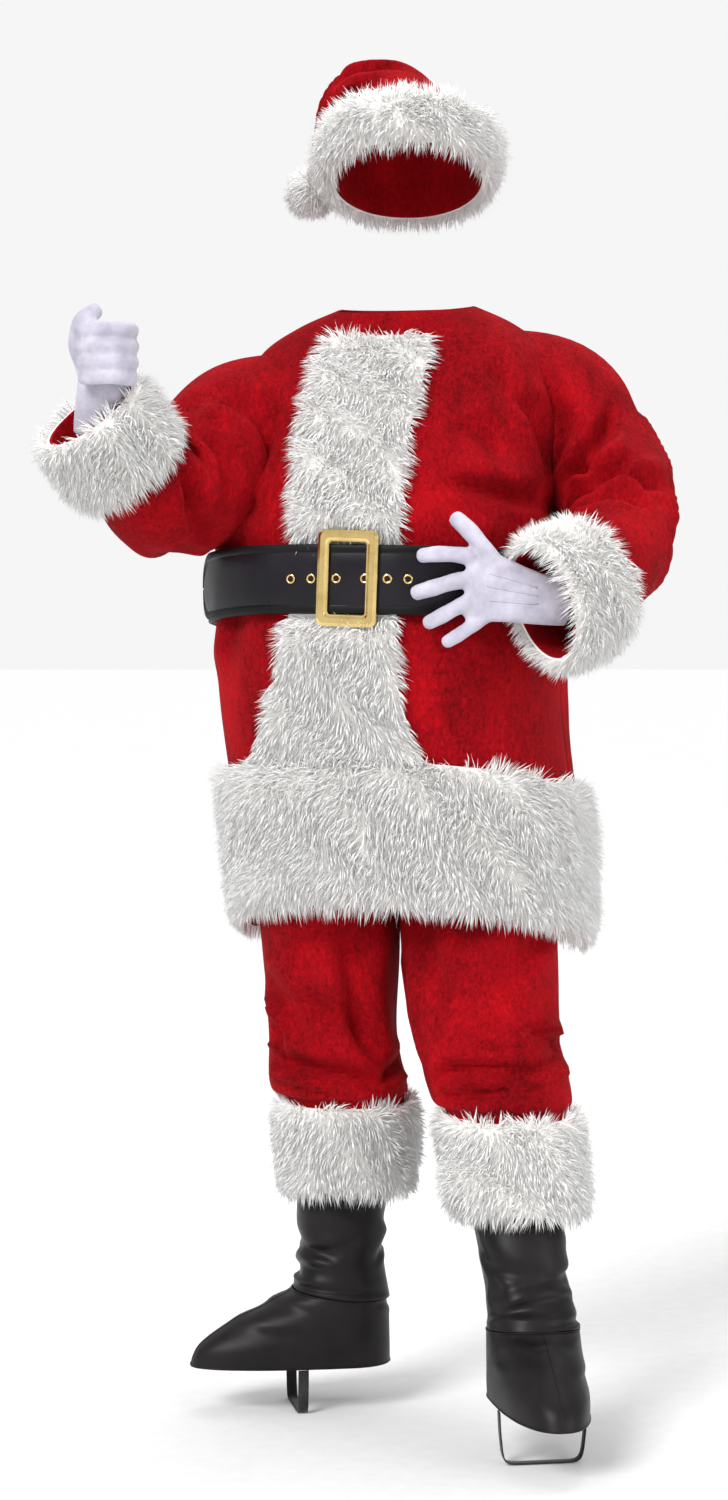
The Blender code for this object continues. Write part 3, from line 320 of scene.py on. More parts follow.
LEFT_LEG_CREASES = (
    Crease(0.370, 62.0, 0.330, 2.0, 0.012, -0.009, 0.006),
    Crease(0.282, 146.0, 0.300, 78.0, 0.011, -0.009, -0.008),
    Crease(0.240, 150.0, 0.258, 66.0, 0.009, -0.007, -0.006),
    Crease(0.470, 160.0, 0.300, 172.0, 0.016, -0.008, 0.006),
    Crease(0.302, 18.0, 0.266, 90.0, 0.010, -0.007, 0.008),
    Crease(0.330, 30.0, 0.345, 110.0, 0.014, 0.005, 0.010),
    Crease(0.520, 30.0, 0.400, 90.0, 0.020, -0.005, 0.012),
    Crease(0.600, 130.0, 0.430, 120.0, 0.022, -0.006, 0.010),
    Crease(0.290, -20.0, 0.255, -110.0, 0.012, -0.008, 0.008),
    Crease(0.420, -40.0, 0.350, -150.0, 0.018, -0.008, -0.012),
    Crease(0.560, -60.0, 0.440, -150.0, 0.022, -0.006, 0.010),
    Crease(0.330, -60.0, 0.300, -160.0, 0.012, -0.006, 0.008),
)
HAT_CREASES = (
    Crease(0.540, -16.0, 0.740, 18.0, 0.012, -0.009, 0.006),
    Crease(0.400, 30.0, 0.620, 60.0, 0.014, -0.007, 0.008),
    Crease(0.240, -50.0, 0.420, -70.0, 0.014, -0.008, -0.008),
    Crease(0.300, -110.0, 0.460, -80.0, 0.014, -0.009, 0.008),
    Crease(0.260, 80.0, 0.420, 110.0, 0.016, -0.006, 0.010),
    Crease(0.600, 90.0, 0.800, 60.0, 0.009, -0.005, 0.006),
    Crease(0.700, -60.0, 0.880, -30.0, 0.008, -0.005, 0.004),
    Crease(0.220, 150.0, 0.400, 170.0, 0.016, -0.007, 0.010),
)
SHAFT_CREASES = (
    Crease(0.120, -100.0, 0.200, 20.0, 0.010, -0.0050, 0.010),
    Crease(0.300, 60.0, 0.220, -40.0, 0.011, -0.0045, -0.010),
    Crease(0.420, -30.0, 0.380, 80.0, 0.012, -0.0055, 0.014),
    Crease(0.560, 100.0, 0.470, 20.0, 0.012, -0.0045, 0.010),
    Crease(0.620, -90.0, 0.540, 10.0, 0.013, -0.0050, -0.012),
    Crease(0.740, 20.0, 0.680, 110.0, 0.012, -0.0040, 0.010),
    Crease(0.360, 130.0, 0.460, 230.0, 0.012, -0.0050, 0.012),
    Crease(0.700, 140.0, 0.640, 250.0, 0.014, -0.0050, -0.010),
    Crease(0.060, 10.0, 0.080, 140.0, 0.008, -0.0040, 0.006),
    Crease(0.500, -60.0, 0.300, -74.0, 0.012, -0.0045, 0.010),
)
FOOT_CREASES = (
    Crease(0.900, -60.0, 0.780, 30.0, 0.007, -0.0035, 0.006),
    Crease(0.780, 60.0, 0.700, -20.0, 0.007, -0.0030, -0.006),
    Crease(0.620, -70.0, 0.600, 20.0, 0.008, -0.0025, 0.006),
    Crease(0.500, 74.0, 0.560, 10.0, 0.008, -0.0025, 0.006),
    Crease(0.940, 120.0, 0.800, 200.0, 0.008, -0.0030, 0.006),
)


def row_at(rows: Sequence[tuple], t: float) -> tuple:
    """The row at t along a table, on a smooth curve through its rows.

    Args:
        rows: the table.
        t: 0 at the first row, 1 at the last.

    Returns:
        A row of the same kind.
    """
    span = min(max(t, 0.0), 1.0) * (len(rows) - 1)
    first = min(int(span), len(rows) - 2)
    part = span - first
    near = [rows[min(max(first + k, 0), len(rows) - 1)] for k in (-1, 0, 1, 2)]
    before, start, end, after = (np.array(row, float) for row in near)
    slope_in = (end - before) / 2.0
    slope_out = (after - start) / 2.0
    values = (
        start * (2 * part**3 - 3 * part**2 + 1)
        + slope_in * (part**3 - 2 * part**2 + part)
        + end * (3 * part**2 - 2 * part**3)
        + slope_out * (part**3 - part**2)
    )
    return type(rows[0])(*values.tolist())


def signed_power(values: np.ndarray, power: float) -> np.ndarray:
    """Each value's size to a power, with its sign kept."""
    return np.sign(values) * np.abs(values) ** power


def superellipse(
    centre: Vector, side: Vector, forward: Vector, backward: Vector,
    sizes: tuple[float, float, float], power: float, angles: np.ndarray, out: np.ndarray,
) -> np.ndarray:
    """Points round a rounded section.

    Args:
        centre: the section's middle.
        side: the direction of angle 90.
        forward: the direction of angle 0.
        backward: the direction of angle 180.
        sizes: half width, front and back.
        power: how square it is, as a power of the sine and cosine.
        angles: in degrees.
        out: how far out each point is moved.

    Returns:
        An array of points.
    """
    turn = np.radians(angles)
    half_width, front, back = sizes
    across = signed_power(np.sin(turn), power) * (half_width + out)
    cosine = np.cos(turn)
    ahead = np.where(cosine > 0.0, np.abs(cosine) ** power * (front + out), 0.0)
    behind = np.where(cosine > 0.0, 0.0, np.abs(cosine) ** power * (back + out))
    return (
        np.array(centre)
        + np.outer(across, side)
        + np.outer(ahead, forward)
        + np.outer(behind, backward)
    )


@dataclass
class Tube:
    """A tube of cloth with its creases. Each kind of tube says where its rings stand."""

    rows: Sequence[tuple]
    creases: Sequence[Crease] = ()
    length: float = 1.0
    radius: float = 1.0
    uneven: float = 0.0
    seed: int = 0
    boost: float = 1.7

    def ring(self, t: float, angles: np.ndarray, out: np.ndarray) -> np.ndarray:
        """The points round the tube at t, moved out by `out`."""
        raise NotImplementedError

    def relief(self, t: float, angles: np.ndarray) -> np.ndarray:
        """How far the creases and the cloth's unevenness move it out, at one t.

        Args:
            t: the place along the tube.
            angles: the places round it, in degrees.

        Returns:
            A move for each angle, in metres.
        """
        total = np.zeros(len(angles))
        for crease in self.creases:
            turn_total = crease.a1 - crease.a0
            turn_total = (turn_total + 180.0) % 360.0 - 180.0
            run = np.array([(crease.t1 - crease.t0) * self.length,
                            math.radians(turn_total) * self.radius])
            size = float(np.hypot(*run))
            turn = (angles - crease.a0 + 180.0) % 360.0 - 180.0
            px = np.full(len(angles), (t - crease.t0) * self.length)
            py = np.radians(turn) * self.radius
            along = (px * run[0] + py * run[1]) / size**2
            aside = (px * run[1] - py * run[0]) / size
            aside = aside - crease.bow * (1.0 - (2.0 * np.clip(along, 0.0, 1.0) - 1.0) ** 2)
            fade = np.exp(-((np.maximum(np.abs(along - 0.5) - 0.30, 0.0) / 0.20) ** 2))
            width = np.where(aside > 0.0, crease.width * 1.30, crease.width * 0.62)
            trough = np.exp(-((aside / width) ** 2))
            lip = np.exp(-(((np.abs(aside) - 1.9 * width) / width) ** 2))
            total += self.boost * crease.depth * fade * (trough - 0.38 * lip)
        if self.uneven:
            rng = np.random.default_rng(self.seed)
            for _ in range(9):
                waves = rng.uniform(6.0, 34.0, 2) * rng.choice([-1.0, 1.0], 2)
                lobes = max(1, round(waves[1] * self.radius * 0.5))
                phase = rng.uniform(0.0, 2.0 * math.pi)
                total += self.uneven / 3.0 * np.sin(
                    waves[0] * t * self.length + np.radians(angles) * lobes + phase)
        return total

    def grid(
        self, ts: np.ndarray, angles: np.ndarray, out: float | np.ndarray,
        rises: Rise | None = None, bare: bool = False,
    ) -> np.ndarray:
        """Points over a stretch of the tube.

        Args:
            ts: the places along it.
            angles: the places round it, in degrees.
            out: how far out, the same all over or one for each t.
            rises: a further move for a t and its angles.
            bare: leaves out the creases.

        Returns:
            An array of t by angle by 3.
        """
        outs = np.broadcast_to(out, len(ts))
        made = []
        for t, reach in zip(ts, outs):
            moved = np.full(len(angles), float(reach))
            if not bare:
                moved += self.relief(t, angles)
            if rises is not None:
                moved += rises(t, angles)
            made.append(self.ring(t, angles, moved))
        points = np.array(made)
        points[..., 2] -= HOLD_HEIGHT
        return points

    def middles(self, ts: np.ndarray) -> np.ndarray:
        """The tube's middle at each t."""
        return self.grid(ts, even(0.0, 270.0, 3), 0.0, bare=True).mean(axis=1)

    def t_at(self, height: float) -> float:
        """The t whose row has this height."""
        low, high = 0.0, 1.0
        for _ in range(40):
            middle = (low + high) / 2.0
            if row_at(self.rows, middle).height < height:
                low = middle
            else:
                high = middle
        return low


@dataclass
class StandingTube(Tube):
    """Rings stacked upwards, each turned about Z and tilted up at its front."""

    def frame_at(self, t: float) -> tuple[Vector, Vector, Vector, Vector, tuple[float, float, float]]:
        """The middle, side, forward and backward directions and sizes of the ring at t."""
        row = row_at(self.rows, t)
        turned = Matrix.Rotation(math.radians(row.turn), 3, "Z")
        tilted = turned @ Matrix.Rotation(math.radians(-row.tilt), 3, "X")
        settled = turned @ Matrix.Rotation(math.radians(-row.tilt * BACK_TILT_SHARE), 3, "X")
        return (Vector((row.x, row.y, row.height)), turned @ Vector((1, 0, 0)),
                tilted @ Vector((0, -1, 0)), settled @ Vector((0, 1, 0)),
                (row.half_width, row.front, row.back))

    def ring(self, t: float, angles: np.ndarray, out: np.ndarray) -> np.ndarray:
        """The points round the tube at t, moved out by `out`."""
        centre, side, forward, backward, sizes = self.frame_at(t)
        return superellipse(centre, side, forward, backward, sizes, 2.0 / SQUARENESS, angles, out)


@dataclass
class BentTube(Tube):
    """Sections square to a bent path. Angle 0 is on the side that the hint points to."""

    hint: tuple[float, float, float] = (0.0, 0.0, 1.0)

    def ring(self, t: float, angles: np.ndarray, out: np.ndarray) -> np.ndarray:
        """The points round the tube at t, moved out by `out`."""
        row = row_at(self.rows, t)
        run = Vector(row_at(self.rows, t + T_STEP)[:3]) - Vector(row_at(self.rows, t - T_STEP)[:3])
        run.normalize()
        hint = Vector(self.hint)
        lift = (hint - run * hint.dot(run)).normalized()
        side = run.cross(lift)
        sizes = (row.across, row.lift, row.lift)
        return superellipse(Vector(row[:3]), side, lift, -lift, sizes, 2.0 / ARM_SQUARENESS,
                            angles, out)


@dataclass
class LegTube(Tube):
    """One trouser leg. Angles run from 0 at the outer seam over the front (90) to the inner seam."""

    outer_side: float = 1.0

    def ring(self, t: float, angles: np.ndarray, out: np.ndarray) -> np.ndarray:
        """The points round the leg at t, moved out by `out`."""
        row = row_at(self.rows, t)
        join = min(max(row.join, 0.0), 1.0)
        power = 2.0 / SQUARENESS
        turn = np.radians(angles)
        across = np.cos(turn)
        inner = across < 0.0
        depth = np.where(np.sin(turn) >= 0.0, row.front, row.back)
        bow = np.abs(np.sin(turn)) ** power
        bow = np.where(inner, join + (1.0 - join) * bow, bow)
        outward = self.outer_side * row.x + np.where(
            inner,
            -np.abs(across) ** power * (row.half_width + out * (1.0 - join)),
            np.abs(across) ** power * (row.half_width + out))
        if join > 0.0:
            least = SEAM / 2.0 + (PLUSH + SEAM) * (1.0 - join)
            outward = np.where(inner, np.maximum(outward, least), outward)
        side = np.where(np.sin(turn) >= 0.0, 1.0, -1.0)
        reach = side * bow * (depth + out)
        return np.stack([self.outer_side * outward, row.y - reach,
                         np.full(len(angles), row.height)], axis=1)


# Finishes.


@dataclass
class Wiring:
    """A node tree being wired."""

    tree: bpy.types.NodeTree

    def add(self, kind: str, **values: object) -> bpy.types.Node:
        """Adds a node.

        Args:
            kind: its type, such as ShaderNodeMath.
            values: settings of the node, or inputs where a name starts with in_.

        Returns:
            The node.
        """
        made = self.tree.nodes.new(kind)
        for name, value in values.items():
            if name.startswith("in_"):
                key = name[3:]
                made.inputs[int(key) if key.isdigit() else key.replace("_", " ")].default_value = value
            else:
                setattr(made, name, value)
        return made

    def link(self, source: bpy.types.Node, out: str | int, target: bpy.types.Node, into: str | int) -> None:
        """Links an output to an input."""
        self.tree.links.new(source.outputs[out], target.inputs[into])

    def ramp(self, stops: Sequence[tuple[float, tuple[float, float, float]]]) -> bpy.types.Node:
        """A colour ramp through the stops."""
        made = self.tree.nodes.new("ShaderNodeValToRGB")
        ramp = made.color_ramp
        for k, (place, colour) in enumerate(stops):
            stop = ramp.elements[k] if k < 2 else ramp.elements.new(place)
            stop.position = place
            stop.color = (*colour, 1.0)
        return made


def mottle_group() -> bpy.types.NodeTree:
    """The group for brushed cloth: large patches, small flecks and a height, in object space."""
    found = bpy.data.node_groups.get("cloth_mottle")
    if found:
        return found
    group = bpy.data.node_groups.new("cloth_mottle", "ShaderNodeTree")
    for name in ("Patch Scale", "Fleck Scale", "Stretch"):
        group.interface.new_socket(name, in_out="INPUT", socket_type="NodeSocketFloat")
    for name in ("Patch", "Fleck", "Height"):
        group.interface.new_socket(name, in_out="OUTPUT", socket_type="NodeSocketFloat")
    w = Wiring(group)
    entry = w.add("NodeGroupInput")
    leave = w.add("NodeGroupOutput")
    place = w.add("ShaderNodeTexCoord")
    lean = w.add("ShaderNodeCombineXYZ", in_X=1.0, in_Y=1.0)
    w.link(entry, "Stretch", lean, "Z")
    scaled = w.add("ShaderNodeVectorMath", operation="MULTIPLY")
    w.link(place, "Object", scaled, 0)
    w.link(lean, 0, scaled, 1)
    patch = w.add("ShaderNodeTexNoise", in_Detail=4.0, in_Roughness=0.6, in_Distortion=0.4)
    fleck = w.add("ShaderNodeTexNoise", in_Detail=5.0, in_Roughness=0.72, in_Distortion=0.8)
    fine = w.add("ShaderNodeTexNoise", in_Detail=3.0, in_Roughness=0.7)
    triple = w.add("ShaderNodeMath", operation="MULTIPLY", in_1=3.3)
    w.link(entry, "Fleck Scale", triple, 0)
    w.link(entry, "Patch Scale", patch, "Scale")
    w.link(entry, "Fleck Scale", fleck, "Scale")
    w.link(triple, 0, fine, "Scale")
    for noise in (patch, fleck, fine):
        w.link(scaled, 0, noise, "Vector")
    height = w.add("ShaderNodeMath", operation="MULTIPLY_ADD", in_1=0.45)
    w.link(fine, "Fac", height, 0)
    w.link(fleck, "Fac", height, 2)
    w.link(patch, "Fac", leave, "Patch")
    w.link(fleck, "Fac", leave, "Fleck")
    w.link(height, 0, leave, "Height")
    return group


def grain_group() -> bpy.types.NodeTree:
    """The group for leatherette: a pebbled grain and the wear on it, in object space."""
    found = bpy.data.node_groups.get("leather_grain")
    if found:
        return found
    group = bpy.data.node_groups.new("leather_grain", "ShaderNodeTree")
    group.interface.new_socket("Scale", in_out="INPUT", socket_type="NodeSocketFloat")
    for name in ("Wear", "Height"):
        group.interface.new_socket(name, in_out="OUTPUT", socket_type="NodeSocketFloat")
    w = Wiring(group)
    entry = w.add("NodeGroupInput")
    leave = w.add("NodeGroupOutput")
    place = w.add("ShaderNodeTexCoord")
    cells = w.add("ShaderNodeTexVoronoi", feature="DISTANCE_TO_EDGE", in_Randomness=1.0)
    wear = w.add("ShaderNodeTexNoise", in_Scale=14.0, in_Detail=5.0, in_Roughness=0.6)
    fine = w.add("ShaderNodeTexNoise", in_Scale=900.0, in_Detail=2.0)
    w.link(entry, "Scale", cells, "Scale")
    for noise in (cells, wear, fine):
        w.link(place, "Object", noise, "Vector")
    height = w.add("ShaderNodeMath", operation="MULTIPLY_ADD", in_1=0.25)
    w.link(fine, "Fac", height, 0)
    w.link(cells, "Distance", height, 2)
    w.link(wear, "Fac", leave, "Wear")
    w.link(height, 0, leave, "Height")
    return group


@dataclass(frozen=True)
class Finish:
    """A finish: its name, and the shader values that are the same all over it."""

    name: str
    roughness: float = 0.8

    def start(self) -> tuple[bpy.types.Material, Wiring, bpy.types.Node]:
        """A new material with its wiring and shader."""
        made = bpy.data.materials.new(self.name)
        made.use_nodes = True
        shader = made.node_tree.nodes["Principled BSDF"]
        shader.inputs["Roughness"].default_value = self.roughness
        return made, Wiring(made.node_tree), shader

    def bump(self, w: Wiring, shader: bpy.types.Node, source: bpy.types.Node, out: str | int,
             distance: float, strength: float = 1.0) -> None:
        """Feeds a height to the shader's normal through a bump."""
        made = w.add("ShaderNodeBump", in_Distance=distance, in_Strength=strength)
        w.link(source, out, made, "Height")
        w.link(made, 0, shader, "Normal")


@dataclass(frozen=True)
class PlushFinish(Finish):
    """Red plush: a short brushed pile with lighter and darker strokes and a velvety edge."""

    deep: tuple[float, float, float] = (0.120, 0.0010, 0.0030)
    mid: tuple[float, float, float] = (0.290, 0.0020, 0.0060)
    light: tuple[float, float, float] = (0.520, 0.0040, 0.0090)
    patch_scale: float = 11.0
    fleck_scale: float = 210.0

    def make(self) -> bpy.types.Material:
        """The material."""
        made, w, shader = self.start()
        mottle = w.add("ShaderNodeGroup", node_tree=mottle_group())
        mottle.inputs["Patch Scale"].default_value = self.patch_scale
        mottle.inputs["Fleck Scale"].default_value = self.fleck_scale
        mottle.inputs["Stretch"].default_value = 0.62
        mix = w.add("ShaderNodeMath", operation="MULTIPLY_ADD", in_1=0.55)
        half = w.add("ShaderNodeMath", operation="MULTIPLY", in_1=0.45)
        w.link(mottle, "Patch", half, 0)
        w.link(mottle, "Fleck", mix, 0)
        w.link(half, 0, mix, 2)
        ramp = w.ramp(((0.37, self.deep), (0.66, self.light), (0.50, self.mid)))
        w.link(mix, 0, ramp, 0)
        w.link(ramp, 0, shader, "Base Color")
        shader.inputs["Sheen Weight"].default_value = 0.22
        shader.inputs["Sheen Roughness"].default_value = 0.34
        shader.inputs["Sheen Tint"].default_value = (1.0, 0.05, 0.06, 1.0)
        shader.inputs["Specular IOR Level"].default_value = 0.06
        self.bump(w, shader, mottle, "Height", 0.0030, 0.85)
        return made


@dataclass(frozen=True)
class FurFinish(Finish):
    """White pile: creamy and bright at the tips, and a little darker towards the roots as painted shade deep
    in the pile.
    """

    # root: the white painted a little darker, as the shade deep in the pile
    root: tuple[float, float, float] = (0.93, 0.91, 0.88)
    tip: tuple[float, float, float] = (1.0, 0.995, 0.985)

    def make(self) -> bpy.types.Material:
        """The material."""
        made, w, shader = self.start()
        mottle = w.add("ShaderNodeGroup", node_tree=mottle_group())
        mottle.inputs["Patch Scale"].default_value = 26.0
        mottle.inputs["Fleck Scale"].default_value = 330.0
        mottle.inputs["Stretch"].default_value = 0.4
        height = w.add("ShaderNodeAttribute", attribute_name="pile")
        blend = w.add("ShaderNodeMath", operation="MULTIPLY_ADD", in_1=0.24)
        w.link(mottle, "Patch", blend, 0)
        w.link(height, "Fac", blend, 2)
        # painted shade: darker towards the roots, by how far up its hair each point is
        ramp = w.ramp(((0.10, self.root), (0.75, self.tip)))
        w.link(blend, 0, ramp, 0)
        w.link(ramp, 0, shader, "Base Color")
        shader.inputs["Sheen Weight"].default_value = 0.45
        shader.inputs["Sheen Roughness"].default_value = 0.5
        shader.inputs["Specular IOR Level"].default_value = 0.15
        self.bump(w, shader, mottle, "Height", 0.0012, 0.5)
        return made


@dataclass(frozen=True)
class LeatherFinish(Finish):
    """Soft leatherette with a fine grain and uneven gloss."""

    dark: tuple[float, float, float] = (0.010, 0.008, 0.009)
    worn: tuple[float, float, float] = (0.032, 0.027, 0.030)
    grain: float = 950.0
    grain_depth: float = 0.00025
    coat: float = 0.0

    def make(self) -> bpy.types.Material:
        """The material."""
        made, w, shader = self.start()
        grain = w.add("ShaderNodeGroup", node_tree=grain_group())
        grain.inputs["Scale"].default_value = self.grain
        ramp = w.ramp(((0.32, self.dark), (0.72, self.worn)))
        w.link(grain, "Wear", ramp, 0)
        w.link(ramp, 0, shader, "Base Color")
        rough = w.add("ShaderNodeMapRange")
        rough.inputs["From Min"].default_value = 0.3
        rough.inputs["From Max"].default_value = 0.7
        rough.inputs["To Min"].default_value = self.roughness - 0.07
        rough.inputs["To Max"].default_value = self.roughness + 0.09
        w.link(grain, "Wear", rough, 0)
        w.link(rough, 0, shader, "Roughness")
        shader.inputs["Coat Weight"].default_value = self.coat
        shader.inputs["Specular IOR Level"].default_value = 0.20
        shader.inputs["Coat Roughness"].default_value = 0.28
        self.bump(w, shader, grain, "Height", self.grain_depth, 0.6)
        return made


@dataclass(frozen=True)
class GoldFinish(Finish):
    """Polished gold-coloured metal with faint rubbing marks."""

    colour: tuple[float, float, float] = (0.88, 0.66, 0.27)
    dull: tuple[float, float, float] = (0.66, 0.47, 0.17)

    def make(self) -> bpy.types.Material:
        """The material."""
        made, w, shader = self.start()
        place = w.add("ShaderNodeTexCoord")
        marks = w.add("ShaderNodeTexNoise", in_Scale=34.0, in_Detail=5.0, in_Roughness=0.6)
        w.link(place, "Object", marks, "Vector")
        ramp = w.ramp(((0.30, self.dull), (0.58, self.colour)))
        w.link(marks, "Fac", ramp, 0)
        w.link(ramp, 0, shader, "Base Color")
        rough = w.add("ShaderNodeMapRange")
        rough.inputs["To Min"].default_value = self.roughness + 0.10
        rough.inputs["To Max"].default_value = self.roughness - 0.05
        w.link(marks, "Fac", rough, 0)
        w.link(rough, 0, shader, "Roughness")
        shader.inputs["Metallic"].default_value = 1.0
        self.bump(w, shader, marks, "Fac", 0.00004, 0.3)
        return made


@dataclass(frozen=True)
class KnitFinish(Finish):
    """Fine knitted cloth: rows of tiny stitches under a soft surface."""

    shade: tuple[float, float, float] = (0.40, 0.38, 0.47)
    bright: tuple[float, float, float] = (0.60, 0.575, 0.67)
    stitch: float = 1500.0
    depth: float = 0.00035

    def make(self) -> bpy.types.Material:
        """The material."""
        made, w, shader = self.start()
        place = w.add("ShaderNodeTexCoord")
        waves = w.add("ShaderNodeTexWave", wave_type="BANDS", bands_direction="Z",
                      in_Scale=self.stitch / 6.0, in_Distortion=0.6, in_Detail=1.0)
        soft = w.add("ShaderNodeTexNoise", in_Scale=38.0, in_Detail=4.0, in_Roughness=0.6)
        fuzz = w.add("ShaderNodeTexNoise", in_Scale=self.stitch, in_Detail=2.0)
        for noise in (waves, soft, fuzz):
            w.link(place, "Object", noise, "Vector")
        ramp = w.ramp(((0.30, self.shade), (0.66, self.bright)))
        w.link(soft, "Fac", ramp, 0)
        w.link(ramp, 0, shader, "Base Color")
        height = w.add("ShaderNodeMath", operation="MULTIPLY_ADD", in_1=0.6)
        w.link(waves, "Fac", height, 0)
        w.link(fuzz, "Fac", height, 2)
        shader.inputs["Sheen Weight"].default_value = 0.2
        shader.inputs["Specular IOR Level"].default_value = 0.2
        self.bump(w, shader, height, 0, self.depth, 0.5)
        return made


class Look(Enum):
    """The suit's finishes."""

    PLUSH = PlushFinish("red_plush", 0.82)
    FUR = FurFinish("white_fur", 0.9)
    BELT = LeatherFinish("belt_leatherette", 0.34, (0.0045, 0.0038, 0.0060), (0.011, 0.009, 0.014),
                         1300.0, 0.00012, 0.10)
    BINDING = LeatherFinish("belt_binding", 0.5, (0.002, 0.0018, 0.002), (0.006, 0.0055, 0.006),
                            1500.0, 0.00012)
    BOOT = LeatherFinish("boot_leatherette", 0.40, (0.0050, 0.0040, 0.0045), (0.013, 0.0105, 0.012),
                         1000.0, 0.0002)
    GOLD = GoldFinish("buckle_gold", 0.17)
    # the dark disc in each eyelet: a painted shadow for the hole, not leatherette
    HOLE = LeatherFinish("eyelet_shadow", 0.7, (0.010, 0.004, 0.004), (0.03, 0.01, 0.01))
    GLOVE = KnitFinish("glove_knit", 0.85)
    ELASTIC = KnitFinish("stirrup_elastic", 0.8, (0.010, 0.010, 0.011), (0.030, 0.030, 0.032),
                         2400.0, 0.0004)
    FLOOR = KnitFinish("pale_floor", 0.9, (0.86, 0.86, 0.86), (0.90, 0.90, 0.90), 40.0, 0.0002)

    def material(self) -> bpy.types.Material:
        """The finish's material, made at its first use."""
        return bpy.data.materials.get(self.value.name) or self.value.make()


# Meshes.


def even(first: float, last: float, count: int) -> np.ndarray:
    """`count` + 1 even values."""
    return np.linspace(first, last, count + 1)


def sheet_mesh(name: str, points: np.ndarray, wrap: bool = False) -> bpy.types.Mesh:
    """A grid laid on rows of points.

    Args:
        name: the mesh's name.
        points: rows by columns by 3.
        wrap: the last column lies on the first, and they are merged.

    Returns:
        The mesh, with a UV map in metres along its middle row and column.
    """
    rows, columns = points.shape[:2]
    made = bmesh.new()
    bmesh.ops.create_grid(made, x_segments=columns - 1, y_segments=rows - 1, size=1.0)
    uv = made.loops.layers.uv.new("UVMap")
    wide = float(np.linalg.norm(np.diff(points[rows // 2], axis=0), axis=1).sum())
    tall = float(np.linalg.norm(np.diff(points[:, columns // 2], axis=0), axis=1).sum())
    for face in made.faces:
        for loop in face.loops:
            place = loop.vert.co
            loop[uv].uv = ((place.x + 1.0) / 2.0 * wide, (place.y + 1.0) / 2.0 * tall)
    for vert in made.verts:
        column = round((vert.co.x + 1.0) / 2.0 * (columns - 1))
        row = round((vert.co.y + 1.0) / 2.0 * (rows - 1))
        vert.co = points[row, column]
    if wrap:
        bmesh.ops.remove_doubles(made, verts=made.verts, dist=1e-5)
    mesh = bpy.data.meshes.new(name)
    made.to_mesh(mesh)
    made.free()
    return mesh


def turned_out(points: np.ndarray, middles: np.ndarray) -> np.ndarray:
    """The same grid, with its columns turned round if its faces would look into its tube.

    Args:
        points: rows by columns by 3.
        middles: the tube's middle at each row.

    Returns:
        The grid.
    """
    cross = np.cross(points[:-1, 1:] - points[:-1, :-1], points[1:, :-1] - points[:-1, :-1])
    aim = points[:-1, :-1] - middles[:-1, None, :]
    return points if float((cross * aim).sum()) > 0.0 else points[:, ::-1]


def cut_of(points: np.ndarray) -> tuple[tuple[float, float], float]:
    """The flat cut of a panel: its width and length, and its area.

    Args:
        points: the panel without its creases.

    Returns:
        The (width, length) and the area, in metres and square metres.
    """
    wide = float(np.linalg.norm(np.diff(points, axis=1), axis=2).sum(axis=1).max())
    tall = float(np.linalg.norm(np.diff(points, axis=0), axis=2).sum(axis=0).max())
    cross = np.cross(points[:-1, 1:] - points[:-1, :-1], points[1:, :-1] - points[:-1, :-1])
    return (wide, tall), min(float(np.linalg.norm(cross, axis=2).sum()), wide * tall)


def place(name: str, mesh: bpy.types.Mesh, *looks: Look) -> bpy.types.Object:
    """An object of the mesh in its finishes, smooth, riding on the frame's one body."""
    piece = bpy.data.objects.new(name, mesh)
    bpy.context.scene.collection.objects.link(piece)
    for look in looks:
        mesh.materials.append(look.material())
    mesh.shade_smooth()
    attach(piece, "root")
    return piece


def wall(piece: bpy.types.Object, thickness: float) -> None:
    """Gives an open surface its wall, inwards."""
    solid = piece.modifiers.new("wall", "SOLIDIFY")
    solid.thickness = thickness
    solid.offset = -1.0


def report(piece: bpy.types.Object) -> None:
    """Logs a piece's size."""
    log.info("%s: %d faces", piece.name, len(piece.data.polygons))


@dataclass
class Hollow:
    """A closed form of a tube, for asking whether a point is inside it."""

    tube: Tube
    tree: BVHTree = field(init=False)

    def __post_init__(self) -> None:
        """Builds the tree from a coarse closed mesh."""
        points = self.tube.grid(even(0.0, 1.0, 40), even(-180.0, 180.0, 48), PLUSH)
        mesh = sheet_mesh("hollow", points, wrap=True)
        made = bmesh.new()
        made.from_mesh(mesh)
        bmesh.ops.holes_fill(made, edges=made.edges)
        bmesh.ops.recalc_face_normals(made, faces=made.faces)
        self.tree = BVHTree.FromBMesh(made)
        made.free()
        bpy.data.meshes.remove(mesh)

    def crossings(self, point: Vector, way: Vector) -> int:
        """How often a ray from a point meets the tube."""
        count = 0
        start = point
        while count < 12:
            met = self.tree.ray_cast(start, way)[0]
            if met is None:
                return count
            count += 1
            start = met + way * 1e-5
        return count

    def depth(self, point: Vector) -> float:
        """How deep inside a point is: negative where it is outside."""
        distance = self.tree.find_nearest(point)[3]
        ways = (Vector((0.13, 0.31, 0.94)), Vector((-0.71, 0.62, -0.33)), Vector((0.44, -0.82, 0.36)))
        inside = sum(self.crossings(point, way) % 2 for way in ways) >= 2
        return distance if inside else -distance


def trim_inside(mesh: bpy.types.Mesh, hollow: Hollow, margin: float) -> None:
    """Deletes the part of a surface that lies deeper than a margin inside a hollow."""
    made = bmesh.new()
    made.from_mesh(mesh)
    gone = [vert for vert in made.verts if hollow.depth(vert.co) > margin]
    bmesh.ops.delete(made, geom=gone, context="VERTS")
    made.to_mesh(mesh)
    made.free()


# Fur.


@dataclass(frozen=True)
class Pile:
    """How a fur trim's pile grows."""

    length: float = 0.026
    width: float = 0.0014
    lean: float = 1.1
    droop: float = 0.6
    spikes: float = 15.5
    locks: float = 3.9
    clump: float = 0.011


